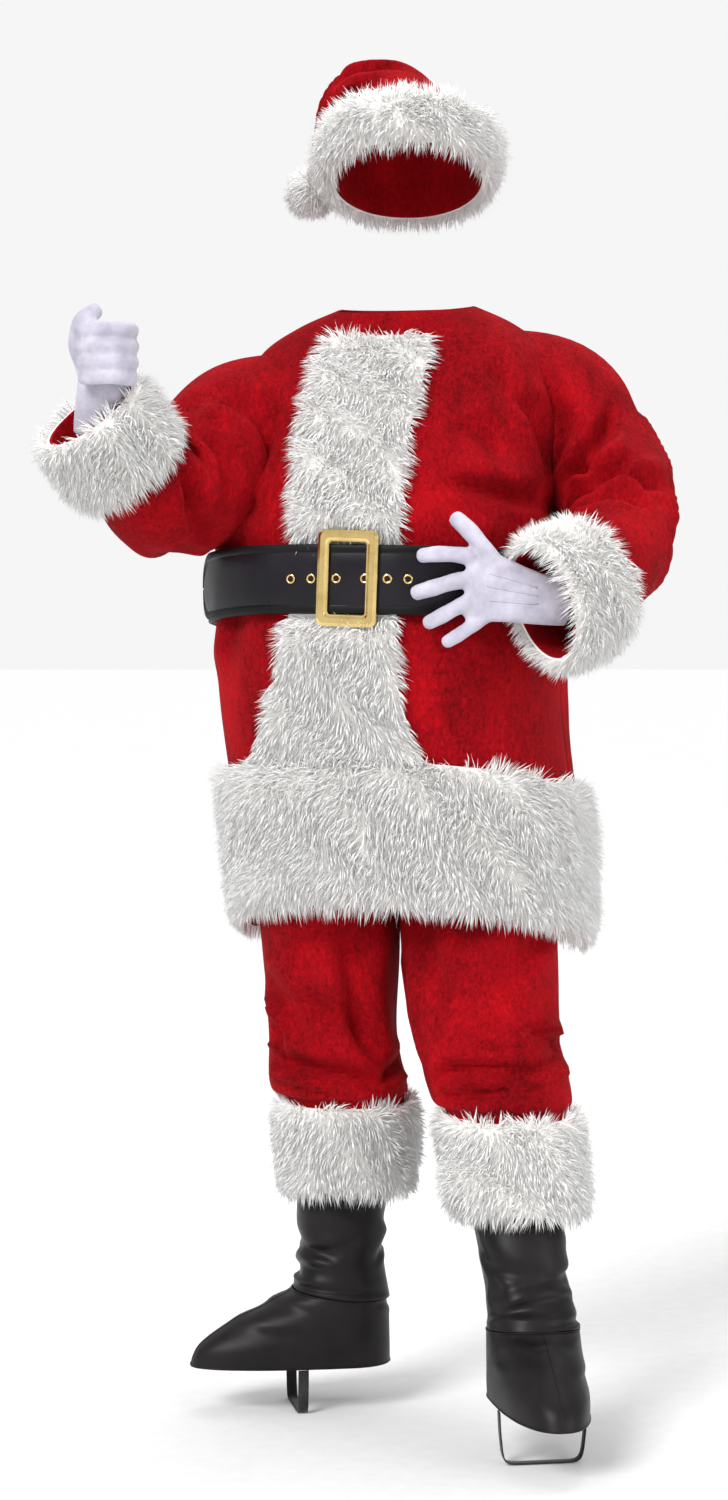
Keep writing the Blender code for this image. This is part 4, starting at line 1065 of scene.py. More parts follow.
@dataclass
class FurPatch:
    """A patch of fur: the pile grown over a grid of points.

    The pile is straight spikes with curved locks among them. Both lean with a combing direction
    and close up towards the middle of their clump.
    """

    name: str
    points: np.ndarray
    pile: Pile
    seed: int
    comb: tuple[float, float, float] = (0.0, 0.0, -1.0)
    flare: tuple[float, float] = (1.0, 0.0)

    def sample(self, count: int, rng: np.random.Generator) -> tuple[np.ndarray, np.ndarray, np.ndarray]:
        """Random places on the grid.

        Args:
            count: how many.
            rng: the random source.

        Returns:
            The points, the normals, and how the pile leans outwards near the trim's edges.
        """
        p = self.points
        corner, right, up = p[:-1, :-1], p[:-1, 1:] - p[:-1, :-1], p[1:, :-1] - p[:-1, :-1]
        cross = np.cross(right, up)
        area = np.linalg.norm(cross, axis=2).ravel()
        cells = rng.choice(len(area), size=count, p=area / area.sum())
        u, v = rng.random((2, count, 1))
        row, column = np.divmod(cells, p.shape[1] - 1)
        a, b = p[row, column], p[row, column + 1]
        c, d = p[row + 1, column], p[row + 1, column + 1]
        spots = (a * (1 - u) + b * u) * (1 - v) + (c * (1 - u) + d * u) * v
        normals = cross.reshape(-1, 3)[cells]
        normals /= np.linalg.norm(normals, axis=1, keepdims=True) + 1e-12
        runs = (c - a) / (np.linalg.norm(c - a, axis=1, keepdims=True) + 1e-12)
        sides = (b - a) / (np.linalg.norm(b - a, axis=1, keepdims=True) + 1e-12)
        high = 2.0 * (row[:, None] + v) / (p.shape[0] - 1) - 1.0
        wide = 2.0 * (column[:, None] + u) / (p.shape[1] - 1) - 1.0
        return spots, normals, runs * high**5 * self.flare[0] + sides * wide**5 * self.flare[1]

    def area(self) -> float:
        """The grid's area."""
        p = self.points
        cross = np.cross(p[:-1, 1:] - p[:-1, :-1], p[1:, :-1] - p[:-1, :-1])
        return float(np.linalg.norm(cross, axis=2).sum())

    def directions(self, spots: np.ndarray, normals: np.ndarray, flares: np.ndarray,
                   rng: np.random.Generator) -> tuple[np.ndarray, np.ndarray]:
        """The way that each hair leaves its root, and the way its tip bends.

        Args:
            spots: the roots.
            normals: the surface's normals there.
            flares: the lean outwards at the trim's edges.
            rng: the random source.

        Returns:
            Two arrays of directions.
        """
        phase = rng.uniform(0.0, 6.3, (3, 4))
        waves = rng.uniform(30.0, 95.0, (3, 4, 3))
        flow = np.stack([
            sum(np.sin(spots @ waves[k, j] + phase[k, j]) for j in range(4)) for k in range(3)
        ], axis=1)
        combed = np.array(self.comb) * self.pile.droop + flow * 0.20
        combed = combed + rng.normal(0.0, 0.26, combed.shape)
        combed -= normals * np.sum(combed * normals, axis=1, keepdims=True)
        leaving = normals + combed * self.pile.lean + flares
        leaving /= np.linalg.norm(leaving, axis=1, keepdims=True)
        bending = leaving + np.array(self.comb) * 0.55 + combed * 0.4 + flares * 0.6
        bending /= np.linalg.norm(bending, axis=1, keepdims=True)
        return leaving, bending

    def clumped(self, spots: np.ndarray, tips: np.ndarray, rng: np.random.Generator) -> np.ndarray:
        """Tips drawn towards the middle tip of their clump."""
        size = self.pile.clump
        keys = np.floor((spots + rng.uniform(0, size, 3)) / size).astype(np.int64)
        _, which = np.unique(keys, axis=0, return_inverse=True)
        which = which.reshape(-1)
        count = np.bincount(which)
        middle = np.stack([np.bincount(which, tips[:, k]) / count for k in range(3)], axis=1)
        pull = rng.uniform(0.05, 0.42, len(count))[which][:, None]
        return tips * (1 - pull) + middle[which] * pull

    def grow(self) -> bpy.types.Object:
        """The patch's pile, as one mesh of spikes and locks, open at their roots inside the backing."""
        rng = np.random.default_rng(self.seed)
        area_cm2 = self.area() * 1e4
        spikes = int(area_cm2 * self.pile.spikes)
        locks = int(area_cm2 * self.pile.locks)
        count = spikes + locks
        spots, normals, flares = self.sample(count, rng)
        leaving, bending = self.directions(spots, normals, flares, rng)
        length = self.pile.length * rng.uniform(0.62, 1.08, (count, 1))
        length[spikes:] *= 1.10
        middles = spots + leaving * length * 0.52
        tips = middles + bending * length * 0.50
        tips = self.clumped(spots, tips, rng)
        middles = (middles * 2 + (spots + tips) * 0.5) / 3.0
        width = self.pile.width * rng.uniform(0.75, 1.25, (count, 1))
        width[spikes:] *= 1.9
        axis = np.cross(leaving, rng.normal(size=(count, 3)))
        axis /= np.linalg.norm(axis, axis=1, keepdims=True) + 1e-12
        other = np.cross(leaving, axis)
        roots = spots - normals * 0.0015
        rings = []
        for centre, share in ((roots, 1.0), (middles, 0.72)):
            ring = []
            for k in range(3):
                turn = 2.0 * math.pi * k / 3.0
                ring.append(centre + (axis * math.cos(turn) + other * math.sin(turn)) * width * share / 2)
            rings.append(ring)
        verts = np.concatenate([*rings[0], *[r[spikes:] for r in rings[1]], tips])
        lock = np.arange(locks)
        each = np.arange(count)
        mid0 = 3 * count
        tip0 = mid0 + 3 * locks
        tris = []
        for k in range(3):
            nxt = (k + 1) % 3
            a, b = each[:spikes] + k * count, each[:spikes] + nxt * count
            tris.append(np.stack([a, b, tip0 + each[:spikes]], axis=1))
            a, b = spikes + lock + k * count, spikes + lock + nxt * count
            c, d = mid0 + lock + k * locks, mid0 + lock + nxt * locks
            tris.append(np.stack([a, b, d], axis=1))
            tris.append(np.stack([a, d, c], axis=1))
            tris.append(np.stack([c, d, tip0 + spikes + lock], axis=1))
        faces = np.concatenate(tris)
        pile = np.concatenate([np.full(3 * count, 0.0), np.full(3 * locks, 0.55), np.full(count, 1.0)])
        return self.as_piece(verts, faces, pile)

    def as_piece(self, verts: np.ndarray, faces: np.ndarray, pile: np.ndarray) -> bpy.types.Object:
        """A piece of the joined hairs, with how far up its hair each point is as `pile`."""
        mesh = bpy.data.meshes.new(self.name)
        mesh.vertices.add(len(verts))
        mesh.vertices.foreach_set("co", verts.astype(np.float32).ravel())
        mesh.loops.add(len(faces) * 3)
        mesh.loops.foreach_set("vertex_index", faces.astype(np.int32).ravel())
        mesh.polygons.add(len(faces))
        mesh.polygons.foreach_set("loop_start", np.arange(0, len(faces) * 3, 3, dtype=np.int32))
        mesh.update(calc_edges=True)
        layer = mesh.attributes.new("pile", "FLOAT", "POINT")
        layer.data.foreach_set("value", pile.astype(np.float32))
        piece = place(self.name, mesh, Look.FUR)
        report(piece)
        return piece


def rounded(part: np.ndarray, edge_round: float = 0.35, edge_share: float = 0.30) -> np.ndarray:
    """How full a trim is across it, 1 in the middle and less at its rounded edges."""
    edge = np.minimum(part, 1.0 - part) / edge_round
    rise = np.sqrt(np.maximum(1.0 - (1.0 - np.minimum(edge, 1.0)) ** 2, 0.0))
    return edge_share + (1.0 - edge_share) * rise


@dataclass
class FurRing:
    """A fur trim all round a tube: a padded backing with its pile in one or more patches."""

    node: str
    tube: Tube
    t0: float
    t1: float
    reach: float
    pile: Pile
    seed: int
    comb: tuple[float, float, float] = (0.0, 0.0, -1.0)
    patches: int = 1
    columns: int = 96
    rows: int = 16
    backing_share: float = 0.45
    rises: Rise | None = None

    def build(self) -> None:
        inner = PLUSH + 2 * SEAM
        ts = even(self.t0, self.t1, self.rows)
        angles = even(-180.0, 180.0, self.columns)
        full = rounded(np.linspace(0.0, 1.0, self.rows + 1))
        outer_face = self.tube.grid(ts, angles, inner + self.reach * self.backing_share * full, self.rises)
        inner_face = self.tube.grid(ts, angles, inner, self.rises)
        loop = np.concatenate([outer_face, inner_face[::-1], outer_face[:1]])
        mesh = sheet_mesh(self.node, loop, wrap=True)
        backing = place(f"{self.node}_backing", mesh, Look.FUR)
        made = bmesh.new()
        made.from_mesh(mesh)
        bmesh.ops.recalc_face_normals(made, faces=made.faces)
        made.to_mesh(mesh)
        made.free()
        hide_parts(self.node)
        report(backing)
        step = self.columns // self.patches
        for k in range(self.patches):
            part = outer_face[:, k * step: (k + 1) * step + 1]
            name = f"{self.node}_pile" if self.patches == 1 else f"{self.node}_pile_{k + 1}"
            part = turned_out(part, self.tube.middles(ts))
            FurPatch(name, part, self.pile, self.seed + k, self.comb).grow()
        flat, area = cut_of(self.tube.grid(ts, angles, inner, bare=True))


# Pieces.


@dataclass
class Panel:
    """A cloth panel on a tube, between two seams or all round."""

    node: str
    tube: Tube
    ts: tuple[float, float]
    angles: tuple[float, float]
    steps: tuple[int, int]
    thickness: float = PLUSH
    look: Look = Look.PLUSH
    slot: str = "plush"
    held: str = "draped"
    inside: Sequence[tuple[Hollow, float]] = ()
    rises: Rise | None = None

    def build(self) -> bpy.types.Object:
        """The panel: a sheet with its wall, in place of its node, which is hidden."""
        ts = even(*self.ts, self.steps[0])
        angles = even(*self.angles, self.steps[1])
        points = turned_out(self.tube.grid(ts, angles, self.thickness, self.rises), self.tube.middles(ts))
        mesh = sheet_mesh(self.node, points, wrap=self.angles[1] - self.angles[0] >= 360.0)
        for hollow, margin in self.inside:
            trim_inside(mesh, hollow, margin)
        piece = place(f"{self.node}_cloth", mesh, self.look)
        wall(piece, self.thickness)
        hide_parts(self.node)
        smooth = self.tube.grid(ts, angles, self.thickness, bare=True)
        if self.inside:
            area = self.trimmed_area(smooth)
        report(piece)
        return piece

    def trimmed_area(self, smooth: np.ndarray) -> float:
        """The area of the cut: the panel without creases, less what its armholes or crown take away."""
        pattern = sheet_mesh("pattern", smooth)
        for hollow, margin in self.inside:
            trim_inside(pattern, hollow, margin)
        area = sum(face.area for face in pattern.polygons)
        bpy.data.meshes.remove(pattern)
        return area


def swept(name: str, path: np.ndarray, radius: float, look: Look, sides: int = 6) -> bpy.types.Object:
    """A thin raised line, such as a seam or a row of stitches, along a path of points.

    Args:
        name: the piece's name.
        path: the points of the line.
        radius: half its thickness.
        look: its finish.
        sides: how many sides it has.

    Returns:
        The piece.
    """
    run = np.gradient(path, axis=0)
    run /= np.linalg.norm(run, axis=1, keepdims=True) + 1e-12
    side = np.cross(run, np.array([0.31, 0.22, 0.93]))
    side /= np.linalg.norm(side, axis=1, keepdims=True) + 1e-12
    up = np.cross(run, side)
    turns = np.radians(even(0.0, 360.0, sides))
    rings = path[:, None, :] + radius * (
        np.cos(turns)[None, :, None] * side[:, None, :] + np.sin(turns)[None, :, None] * up[:, None, :])
    mesh = sheet_mesh(name, rings, wrap=True)
    made = bmesh.new()
    made.from_mesh(mesh)
    bmesh.ops.holes_fill(made, edges=made.edges)
    bmesh.ops.recalc_face_normals(made, faces=made.faces)
    made.to_mesh(mesh)
    made.free()
    piece = place(name, mesh, look)
    report(piece)
    return piece


@dataclass
class Belt:
    """The belt: a bound strap with a rounded tip, its eyelets and its buckle."""

    coat: StandingTube
    level: float = 1.096
    height: float = 0.088
    thick: float = 0.0032
    binding: float = 0.0095
    proud: float = 0.0013
    stand_off: float = 0.0080
    layer_step: float = 0.0076
    start: float = 12.0
    tip: float = -427.0
    step_from: float = -285.0
    step_to: float = -338.0
    steps: int = 300
    buckle_size: tuple[float, float] = (0.081, 0.124)
    buckle_bar: float = 0.0155
    buckle_depth: float = 0.0062
    buckle_angle: float = 1.5
    buckle_lean: float = -2.0
    eyelets: int = 6
    eyelet_spacing: float = 0.031
    eyelet_shift: float = 0.005

    def __post_init__(self) -> None:
        """Finds the coat's ring at the belt's level."""
        self.t = self.coat.t_at(self.level)
        self.front = row_at(self.coat.rows, self.t).front
        self.half_width = row_at(self.coat.rows, self.t).half_width

    def point(self, angle: float, lift: float, up: float = 0.0) -> np.ndarray:
        """A point off the coat's ring at the belt's level."""
        made = self.coat.ring(self.t, np.array([angle]), np.array([lift]))[0]
        made[2] += up - HOLD_HEIGHT
        return made

    def layer(self, angle: float) -> float:
        """How far off the coat the strap's back lies."""
        part = min(max((self.step_from - angle) / (self.step_from - self.step_to), 0.0), 1.0)
        return self.stand_off + self.layer_step * part * part * (3.0 - 2.0 * part)

    def face_frame(self, angle: float, out: float) -> Matrix:
        """A frame on the strap's face: X to the wearer's left, Y up and Z outwards."""
        across = Vector(self.point(angle + 1.0, out) - self.point(angle - 1.0, out)).normalized()
        up = Vector((0.0, 0.0, 1.0))
        made = Matrix((across, up, across.cross(up))).transposed().to_4x4()
        made.translation = Vector(self.point(angle, out))
        return made

    def profile(self) -> list[tuple[float, float]]:
        """The strap's section, from its lower back edge over its face: height and thickness."""
        half, edge = self.height / 2.0, self.height / 2.0 - self.binding
        full = self.thick + self.proud
        lower = [(-half, 0.0), (-half - 0.0004, full * 0.35), (-half, full * 0.8), (-half + 0.0014, full),
                 (-edge - 0.0012, full), (-edge - 0.0002, full * 0.92), (-edge + 0.0004, self.thick - 0.0004),
                 (-edge + 0.0016, self.thick)]
        face = [(-edge * 0.5, self.thick + 0.0004), (0.0, self.thick + 0.0006),
                (edge * 0.5, self.thick + 0.0004)]
        return lower + face + [(-up, out) for up, out in reversed(lower)]

    def build_strap(self) -> bpy.types.Object:
        """The strap, with the binding in its own finish."""
        tip_start = self.tip + math.degrees(self.height / 2.0 / self.half_width)
        angles = list(even(self.start, tip_start, self.steps))
        widths = [1.0] * len(angles)
        for turn in np.radians(even(0.0, 88.0, 12))[1:]:
            angles.append(tip_start + (self.tip - tip_start) * math.sin(turn))
            widths.append(math.cos(turn))
        rows = []
        rng = np.random.default_rng(11)
        phase = rng.uniform(0.0, 6.3, 5)
        for angle, width in zip(angles, widths):
            turn = math.radians(angle)
            wave = 0.0006 * math.sin(9 * turn + phase[0]) + 0.0004 * math.sin(17 * turn + phase[1])
            sway = 0.0009 * math.sin(5 * turn + phase[2])
            row = []
            for up, out in self.profile():
                ripple = 0.0004 * math.sin(31 * turn + phase[3]) * (up / self.height)
                row.append(self.point(angle, self.layer(angle) + out + wave + ripple, up * width + sway))
            rows.append(row + row[:1])
        mesh = sheet_mesh("belt_strap", np.array(rows), wrap=True)
        made = bmesh.new()
        made.from_mesh(mesh)
        bmesh.ops.holes_fill(made, edges=made.edges)
        bmesh.ops.recalc_face_normals(made, faces=made.faces)
        made.to_mesh(mesh)
        made.free()
        strap = place("belt_strap_cloth", mesh, Look.BELT, Look.BINDING)
        edge = self.height / 2.0 - self.binding
        level = self.point(0.0, 0.0)[2]
        for face in mesh.polygons:
            share = abs(self.height_on(face.center, level))
            face.material_index = 1 if share > edge - 0.0004 else 0
        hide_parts("belt_strap")
        report(strap)
        return strap

    def height_on(self, spot: Vector, level: float) -> float:
        """How far a point of the strap is above the strap's middle, the ring's tilt taken away."""
        row = row_at(self.coat.rows, self.t)
        turned = Matrix.Rotation(math.radians(-row.turn), 3, "Z") @ (spot - Vector((row.x, row.y, 0.0)))
        ahead = -turned.y
        tilt = row.tilt if ahead > 0.0 else -row.tilt * BACK_TILT_SHARE
        middle = row.height - HOLD_HEIGHT
        return spot.z - (middle + abs(ahead) * math.tan(math.radians(tilt)))

    def build_eyelets(self) -> None:
        """The eyelets: a rolled gold ring each, over a dark disc that is a painted shadow for its hole."""
        face = self.stand_off + self.layer_step + self.thick + 0.0010
        for k in range(self.eyelets):
            across = (k - (self.eyelets - 1) / 2.0) * self.eyelet_spacing + self.eyelet_shift
            angle = self.buckle_angle + math.degrees(across / self.front) * STRIP_ANGLE_SHARE
            spot = self.face_frame(angle, face)
            made = bmesh.new()
            section = [made.verts.new((0.0050 + 0.0013 * math.cos(turn), 0.0,
                                       0.0003 + 0.0010 * math.sin(turn)))
                       for turn in np.radians(even(0.0, 330.0, 11))]
            edges = [made.edges.new((section[i], section[(i + 1) % 12])) for i in range(12)]
            bmesh.ops.spin(made, geom=section + edges, cent=(0, 0, 0), axis=(0, 0, 1), steps=32,
                           angle=math.tau, use_merge=True, use_normal_flip=True)
            # a dark disc inside the ring, given the painted-shadow finish below, where the hole is
            bmesh.ops.create_circle(made, cap_ends=True, segments=24, radius=0.0041,
                                    matrix=Matrix.Translation((0, 0, 0.0002)))
            bmesh.ops.remove_doubles(made, verts=made.verts, dist=1e-6)
            bmesh.ops.recalc_face_normals(made, faces=made.faces)
            for face_made in made.faces:
                face_made.material_index = int(face_made.calc_center_median().xy.length < 0.0034)
            made.transform(spot)
            mesh = bpy.data.meshes.new(f"eyelet_{k + 1}")
            made.to_mesh(mesh)
            made.free()
            ring = place(f"eyelet_ring_{k + 1}", mesh, Look.GOLD, Look.HOLE)
            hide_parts(f"belt_eyelet_{k + 1}")

    def loop(self, inset: float, depth: float, corner: float, inner: bool) -> list[Vector]:
        """Points round the buckle, a way in from its outer or inner outline."""
        half_x, half_y = self.buckle_size[0] / 2.0 - inset, self.buckle_size[1] / 2.0 - inset
        if inner:
            half_x, half_y = half_x - self.buckle_bar, half_y - self.buckle_bar
        points = []
        for turn_at, (sx, sy) in enumerate(((1, 1), (-1, 1), (-1, -1), (1, -1))):
            for k in range(9):
                turn = math.radians(90.0 * (turn_at + k / 8.0))
                points.append(Vector((sx * (half_x - corner) + corner * math.cos(turn),
                                      sy * (half_y - corner) + corner * math.sin(turn), depth)))
        return points

    def build_buckle(self) -> None:
        """The buckle: a stepped and chamfered frame, and the bar behind the strap."""
        face = self.stand_off + self.layer_step + self.thick + self.proud + 0.0006
        spot = self.face_frame(self.buckle_angle, face)
        spot = spot @ Matrix.Rotation(math.radians(self.buckle_lean), 4, "Z")
        deep = self.buckle_depth
        loops = [
            self.loop(0.0, 0.0, 0.010, False),
            self.loop(0.0, deep * 0.45, 0.010, False),
            self.loop(0.0004, deep * 0.58, 0.0096, False),
            self.loop(0.0036, deep * 0.93, 0.0070, False),
            self.loop(0.0043, deep, 0.0062, False),
            self.loop(-0.0050, deep, 0.0070, True),
            self.loop(-0.0044, deep * 0.94, 0.0064, True),
            self.loop(-0.0024, deep * 0.66, 0.0050, True),
            self.loop(-0.0018, deep * 0.60, 0.0046, True),
            self.loop(-0.0003, deep * 0.60, 0.0040, True),
            self.loop(0.0, deep * 0.52, 0.0040, True),
            self.loop(0.0, 0.0, 0.0040, True),
        ]
        rows = np.array([[tuple(spot @ point) for point in [*loop, loop[0]]] for loop in [*loops, loops[0]]])
        mesh = sheet_mesh("belt_buckle", rows, wrap=True)
        made = bmesh.new()
        made.from_mesh(mesh)
        behind = -(self.thick + self.proud + 0.0016 + 0.0006)
        reach = self.buckle_size[1] / 2.0 - self.buckle_bar / 2.0
        rod = BAR_RADIUS
        bmesh.ops.create_cone(made, cap_ends=True, segments=12, radius1=rod, radius2=rod, depth=reach * 2.0,
                              matrix=spot @ Matrix.Translation((0.0, 0.0, behind))
                              @ Matrix.Rotation(math.pi / 2.0, 4, "X"))
        for side in (1.0, -1.0):
            middle = (0.0, side * reach, (deep * 0.5 + behind) / 2.0)
            bmesh.ops.create_cone(made, cap_ends=True, segments=12, radius1=rod, radius2=rod,
                                  depth=deep * 0.5 - behind, matrix=spot @ Matrix.Translation(middle))
        bmesh.ops.recalc_face_normals(made, faces=made.faces)
        made.to_mesh(mesh)
        made.free()
        buckle = place("buckle_frame", mesh, Look.GOLD)
        mesh.set_sharp_from_angle(angle=math.radians(24.0))
        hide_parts("belt_buckle")
        report(buckle)

    def build(self) -> None:
        """Makes the whole belt."""
        self.build_strap()
        self.build_eyelets()
        self.build_buckle()


@dataclass
class Coat:
    """The coat: back, fronts, sleeves and fur trims."""

    body: StandingTube
    right_arm: BentTube
    left_arm: BentTube
    hem_top: float = 0.838
    right_cuff: float = 0.735
    left_cuff: float = 0.77

    def pressed(self, t: float, angles: np.ndarray) -> np.ndarray:
        """The cloth's swell above and below the belt, in small uneven gathers."""
        height = row_at(self.body.rows, t).height
        turn = np.radians(angles)
        over = math.exp(-(((height - 1.176) / 0.024) ** 2))
        under = math.exp(-(((height - 1.012) / 0.026) ** 2))
        gather = 0.62 + 0.20 * np.sin(9 * turn + 0.8) + 0.18 * np.sin(14 * turn + 2.1)
        pleat = 0.62 + 0.20 * np.sin(8 * turn + 2.4) + 0.18 * np.sin(13 * turn + 0.3)
        return 0.0085 * over * gather + 0.0075 * under * pleat

    def build(self) -> None:
        """Makes the coat."""
        body = Hollow(self.body)
        arms = [(Hollow(self.right_arm), 0.012), (Hollow(self.left_arm), 0.012)]
        for node, angles, columns in (
            ("coat_front_right", (-90.0, 0.0), 46),
            ("coat_front_left", (0.0, 90.0), 46),
            ("coat_back", (90.0, 270.0), 80),
        ):
            Panel(node, self.body, (0.0, 1.0), angles, (116, columns), inside=arms,
                  rises=self.pressed).build()
        for side, arm, cuff in (("right", self.right_arm, self.right_cuff),
                                ("left", self.left_arm, self.left_cuff)):
            Panel(f"coat_sleeve_{side}", arm, (0.0, 1.0), (-180.0, 180.0), (78, 84),
                  inside=((body, 0.016),)).build()
            comb = (0.0, 0.0, -1.0) if side == "right" else (-0.4, -0.1, -0.9)
            FurRing(f"coat_cuff_fur_{side}", arm, cuff, 1.0, 0.026, Pile(0.026, droop=0.5), 30 + len(side),
                    comb, columns=72, rows=12).build()
        FurRing("coat_hem_fur", self.body, 0.0, self.body.t_at(self.hem_top), 0.020, Pile(0.027), 50,
                patches=2, columns=160, rows=20).build()
        self.build_strip()

    def build_strip(self) -> None:
        """The fur strip down the front opening, widening to the hem."""
        lift = PLUSH + 0.0022
        rows, columns = 90, 24
        inner, outer, smooth = [], [], []
        for share in even(0.0, 1.0, rows):
            strip = row_at(FUR_STRIP, share)
            t = self.body.t_at(strip.height)
            front = row_at(self.body.rows, t).front
            reach_angle = math.degrees(strip.half_width / front) * STRIP_ANGLE_SHARE
            angles = even(strip.middle - reach_angle, strip.middle + reach_angle, columns)
            full = rounded(np.linspace(0.0, 1.0, columns + 1))
            rise = self.pressed(t, angles) + self.body.relief(t, angles) * 0.6
            near = self.body.ring(t, angles, lift + rise)
            far = self.body.ring(t, angles, lift + rise + strip.reach * 0.45 * full)
            smooth.append(self.body.ring(t, angles, np.full(len(angles), lift)))
            near[:, 2] -= HOLD_HEIGHT
            far[:, 2] -= HOLD_HEIGHT
            inner.append(near)
            outer.append(far)
        outer_face = np.array(outer)
        loop = np.concatenate([outer_face, np.array(inner)[:, ::-1], outer_face[:, :1]], axis=1)
        mesh = sheet_mesh("coat_front_fur", loop, wrap=True)
        made = bmesh.new()
        made.from_mesh(mesh)
        bmesh.ops.holes_fill(made, edges=made.edges)
        bmesh.ops.recalc_face_normals(made, faces=made.faces)
        made.to_mesh(mesh)
        made.free()
        backing = place("coat_front_fur_backing", mesh, Look.FUR)
        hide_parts("coat_front_fur")
        belt = [k for k in range(rows + 1) if 1.046 < row_at(FUR_STRIP, k / rows).height < 1.146]
        for name, part, seed in (("lower", outer_face[: belt[0] + 1], 70),
                                 ("upper", outer_face[belt[-1]:], 71)):
            middle = np.tile(np.array([0.0, 0.0, 0.0]), (len(part), 1))
            middle[:, 2] = part[:, :, 2].mean(axis=1)
            patch = FurPatch(f"coat_front_fur_pile_{name}", turned_out(part, middle), Pile(0.025), seed,
                             flare=(0.3, 1.0))
            patch.grow()


@dataclass
class Hat:
    """The hat: a crown whose end flops over and down, a fur band and a pompom."""

    crown: BentTube
    band_t: float = 0.175
    pompom: tuple[float, float, float] = (-0.120, 0.137, 1.649)
    radius: float = 0.030

    def build(self) -> None:
        """Makes the hat."""
        Panel("hat_crown", self.crown, (0.0, 1.0), (-180.0, 180.0), (80, 72)).build()
        FurRing("hat_fur_band", self.crown, 0.0, self.band_t, 0.027, Pile(0.026, droop=0.45), 80,
                (0.0, 0.0, -1.0), columns=110, rows=14).build()
        centre = np.array(self.pompom) - np.array([0.0, 0.0, HOLD_HEIGHT])
        ball = bmesh.new()
        bmesh.ops.create_uvsphere(ball, u_segments=32, v_segments=20, radius=self.radius * 0.75)
        ball.transform(Matrix.Translation(centre))
        mesh = bpy.data.meshes.new("hat_pompom")
        ball.to_mesh(mesh)
        ball.free()
        core = place("hat_pompom_core", mesh, Look.FUR)
        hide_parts("hat_pompom")
        rise = np.radians(even(-88.0, 88.0, 18))
        turns = np.radians(even(0.0, 360.0, 36))
        points = centre + self.radius * 0.75 * np.stack([
            np.outer(np.cos(rise), np.cos(turns)),
            np.outer(np.cos(rise), np.sin(turns)),
            np.outer(np.sin(rise), np.ones(len(turns)))], axis=2)
        points = turned_out(points, np.tile(centre, (len(rise), 1)))
        FurPatch("hat_pompom_pile", points, Pile(0.021, 0.0013, 0.7, 0.35, 46.0, 10.0, 0.008), 90,
                 flare=(0.0, 0.0)).grow()


@dataclass
class Trousers:
    """The trousers: two legs in a front and a back each, a waistband and fur cuffs."""

    legs: dict[str, LegTube]
    band_height: float = 0.038

    def build(self) -> None:
        """Makes the trousers."""
        for side, leg in self.legs.items():
            for part, angles in (("front", (0.0, 180.0)), ("back", (-180.0, 0.0))):
                Panel(f"trouser_{part}_{side}", leg, (0.0, 1.0), angles, (92, 40)).build()
            FurRing(f"trouser_cuff_fur_{side}", leg, 0.0, LEG_FUR_T, 0.019, Pile(0.026), 100 + len(side),
                    columns=90, rows=14).build()
        top = RIGHT_LEG[-1]
        waist = Ring(top.height + SEAM * 2, 0.0, top.y, top.half_width - top.x, top.front, top.back, 0.0, 0.0)
        band = StandingTube((waist, waist._replace(height=waist.height + self.band_height)))

        def gathers(t: float, angles: np.ndarray) -> np.ndarray:
            """The elastic's small even gathers."""
            return 0.0012 * np.sin(np.radians(angles) * 64) * math.sin(math.pi * t)

        Panel("trouser_waistband", band, (0.0, 1.0), (-180.0, 180.0), (10, 320), held="gathered",
              rises=gathers).build()


@dataclass
class BootCover:
    """One boot cover: a shaft, a foot piece, the seams and the stirrup."""

    side: str
    shaft: StandingTube
    foot: StandingTube
    stirrup_width: float = 0.014
    stirrup_reach: float = 0.054

    def build(self) -> None:
        """Makes the boot cover."""
        for part, tube, steps in (("shaft", self.shaft, (48, 72)), ("foot", self.foot, (28, 88))):
            Panel(f"boot_{part}_{self.side}", tube, (0.0, 1.0), (-180.0, 180.0), steps, LEATHERETTE,
                  Look.BOOT, "boot").build()
        around = even(-180.0, 180.0, 90)
        ankle = self.foot.grid(np.array([1.0]), around, LEATHERETTE * 0.9)[0]
        up = even(0.03, 0.98, 60)
        lines = {
            "ankle_seam": ankle,
            "back_seam": self.shaft.grid(up, np.array([180.0]), LEATHERETTE * 0.9)[:, 0],
            "toe_seam": self.foot.grid(even(0.02, 0.97, 50), np.array([0.0]), LEATHERETTE * 0.8)[:, 0],
            "lower_edge": self.foot.grid(np.array([0.03]), around, LEATHERETTE)[0],
        }
        for name, path in lines.items():
            piece = swept(f"boot_{name}_{self.side}", path, 0.0011, Look.BOOT)
        self.build_stirrup()

    def build_stirrup(self) -> None:
        """The elastic under the shoe."""
        sole = self.foot.rows[0]
        top = sole.height - 2 * SEAM
        knots = ((sole.half_width, top), (sole.half_width - 0.002, top * 0.50),
                 (sole.half_width - 0.008, top * 0.09), (sole.half_width - 0.028, top * 0.034))
        side = [row_at([Knot(*knot) for knot in knots], share) for share in even(0.0, 1.0, 12)]
        route = [tuple(knot) for knot in side] + [(-x, z) for x, z in reversed(side)]
        turned = Matrix.Rotation(math.radians(sole.turn), 3, "Z")
        rows = []
        for forward in even(self.stirrup_reach, self.stirrup_reach + self.stirrup_width, 3):
            rows.append([
                tuple(Vector((sole.x, sole.y, z - HOLD_HEIGHT)) + turned @ Vector((x, -forward, 0.0)))
                for x, z in route])
        points = np.array(rows)
        mesh = sheet_mesh(f"boot_stirrup_{self.side}", points)
        piece = place(f"boot_stirrup_{self.side}_elastic", mesh, Look.ELASTIC)
        solid = piece.modifiers.new("wall", "SOLIDIFY")
        solid.thickness = KNIT
        solid.offset = 0.0
        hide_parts(f"boot_stirrup_{self.side}")
        report(piece)


class Knot(NamedTuple):
    """A point of a flat route: how far across and how high."""

    across: float
    height: float


class Joint(NamedTuple):
    """A point along a finger."""

    x: float
    y: float
    z: float


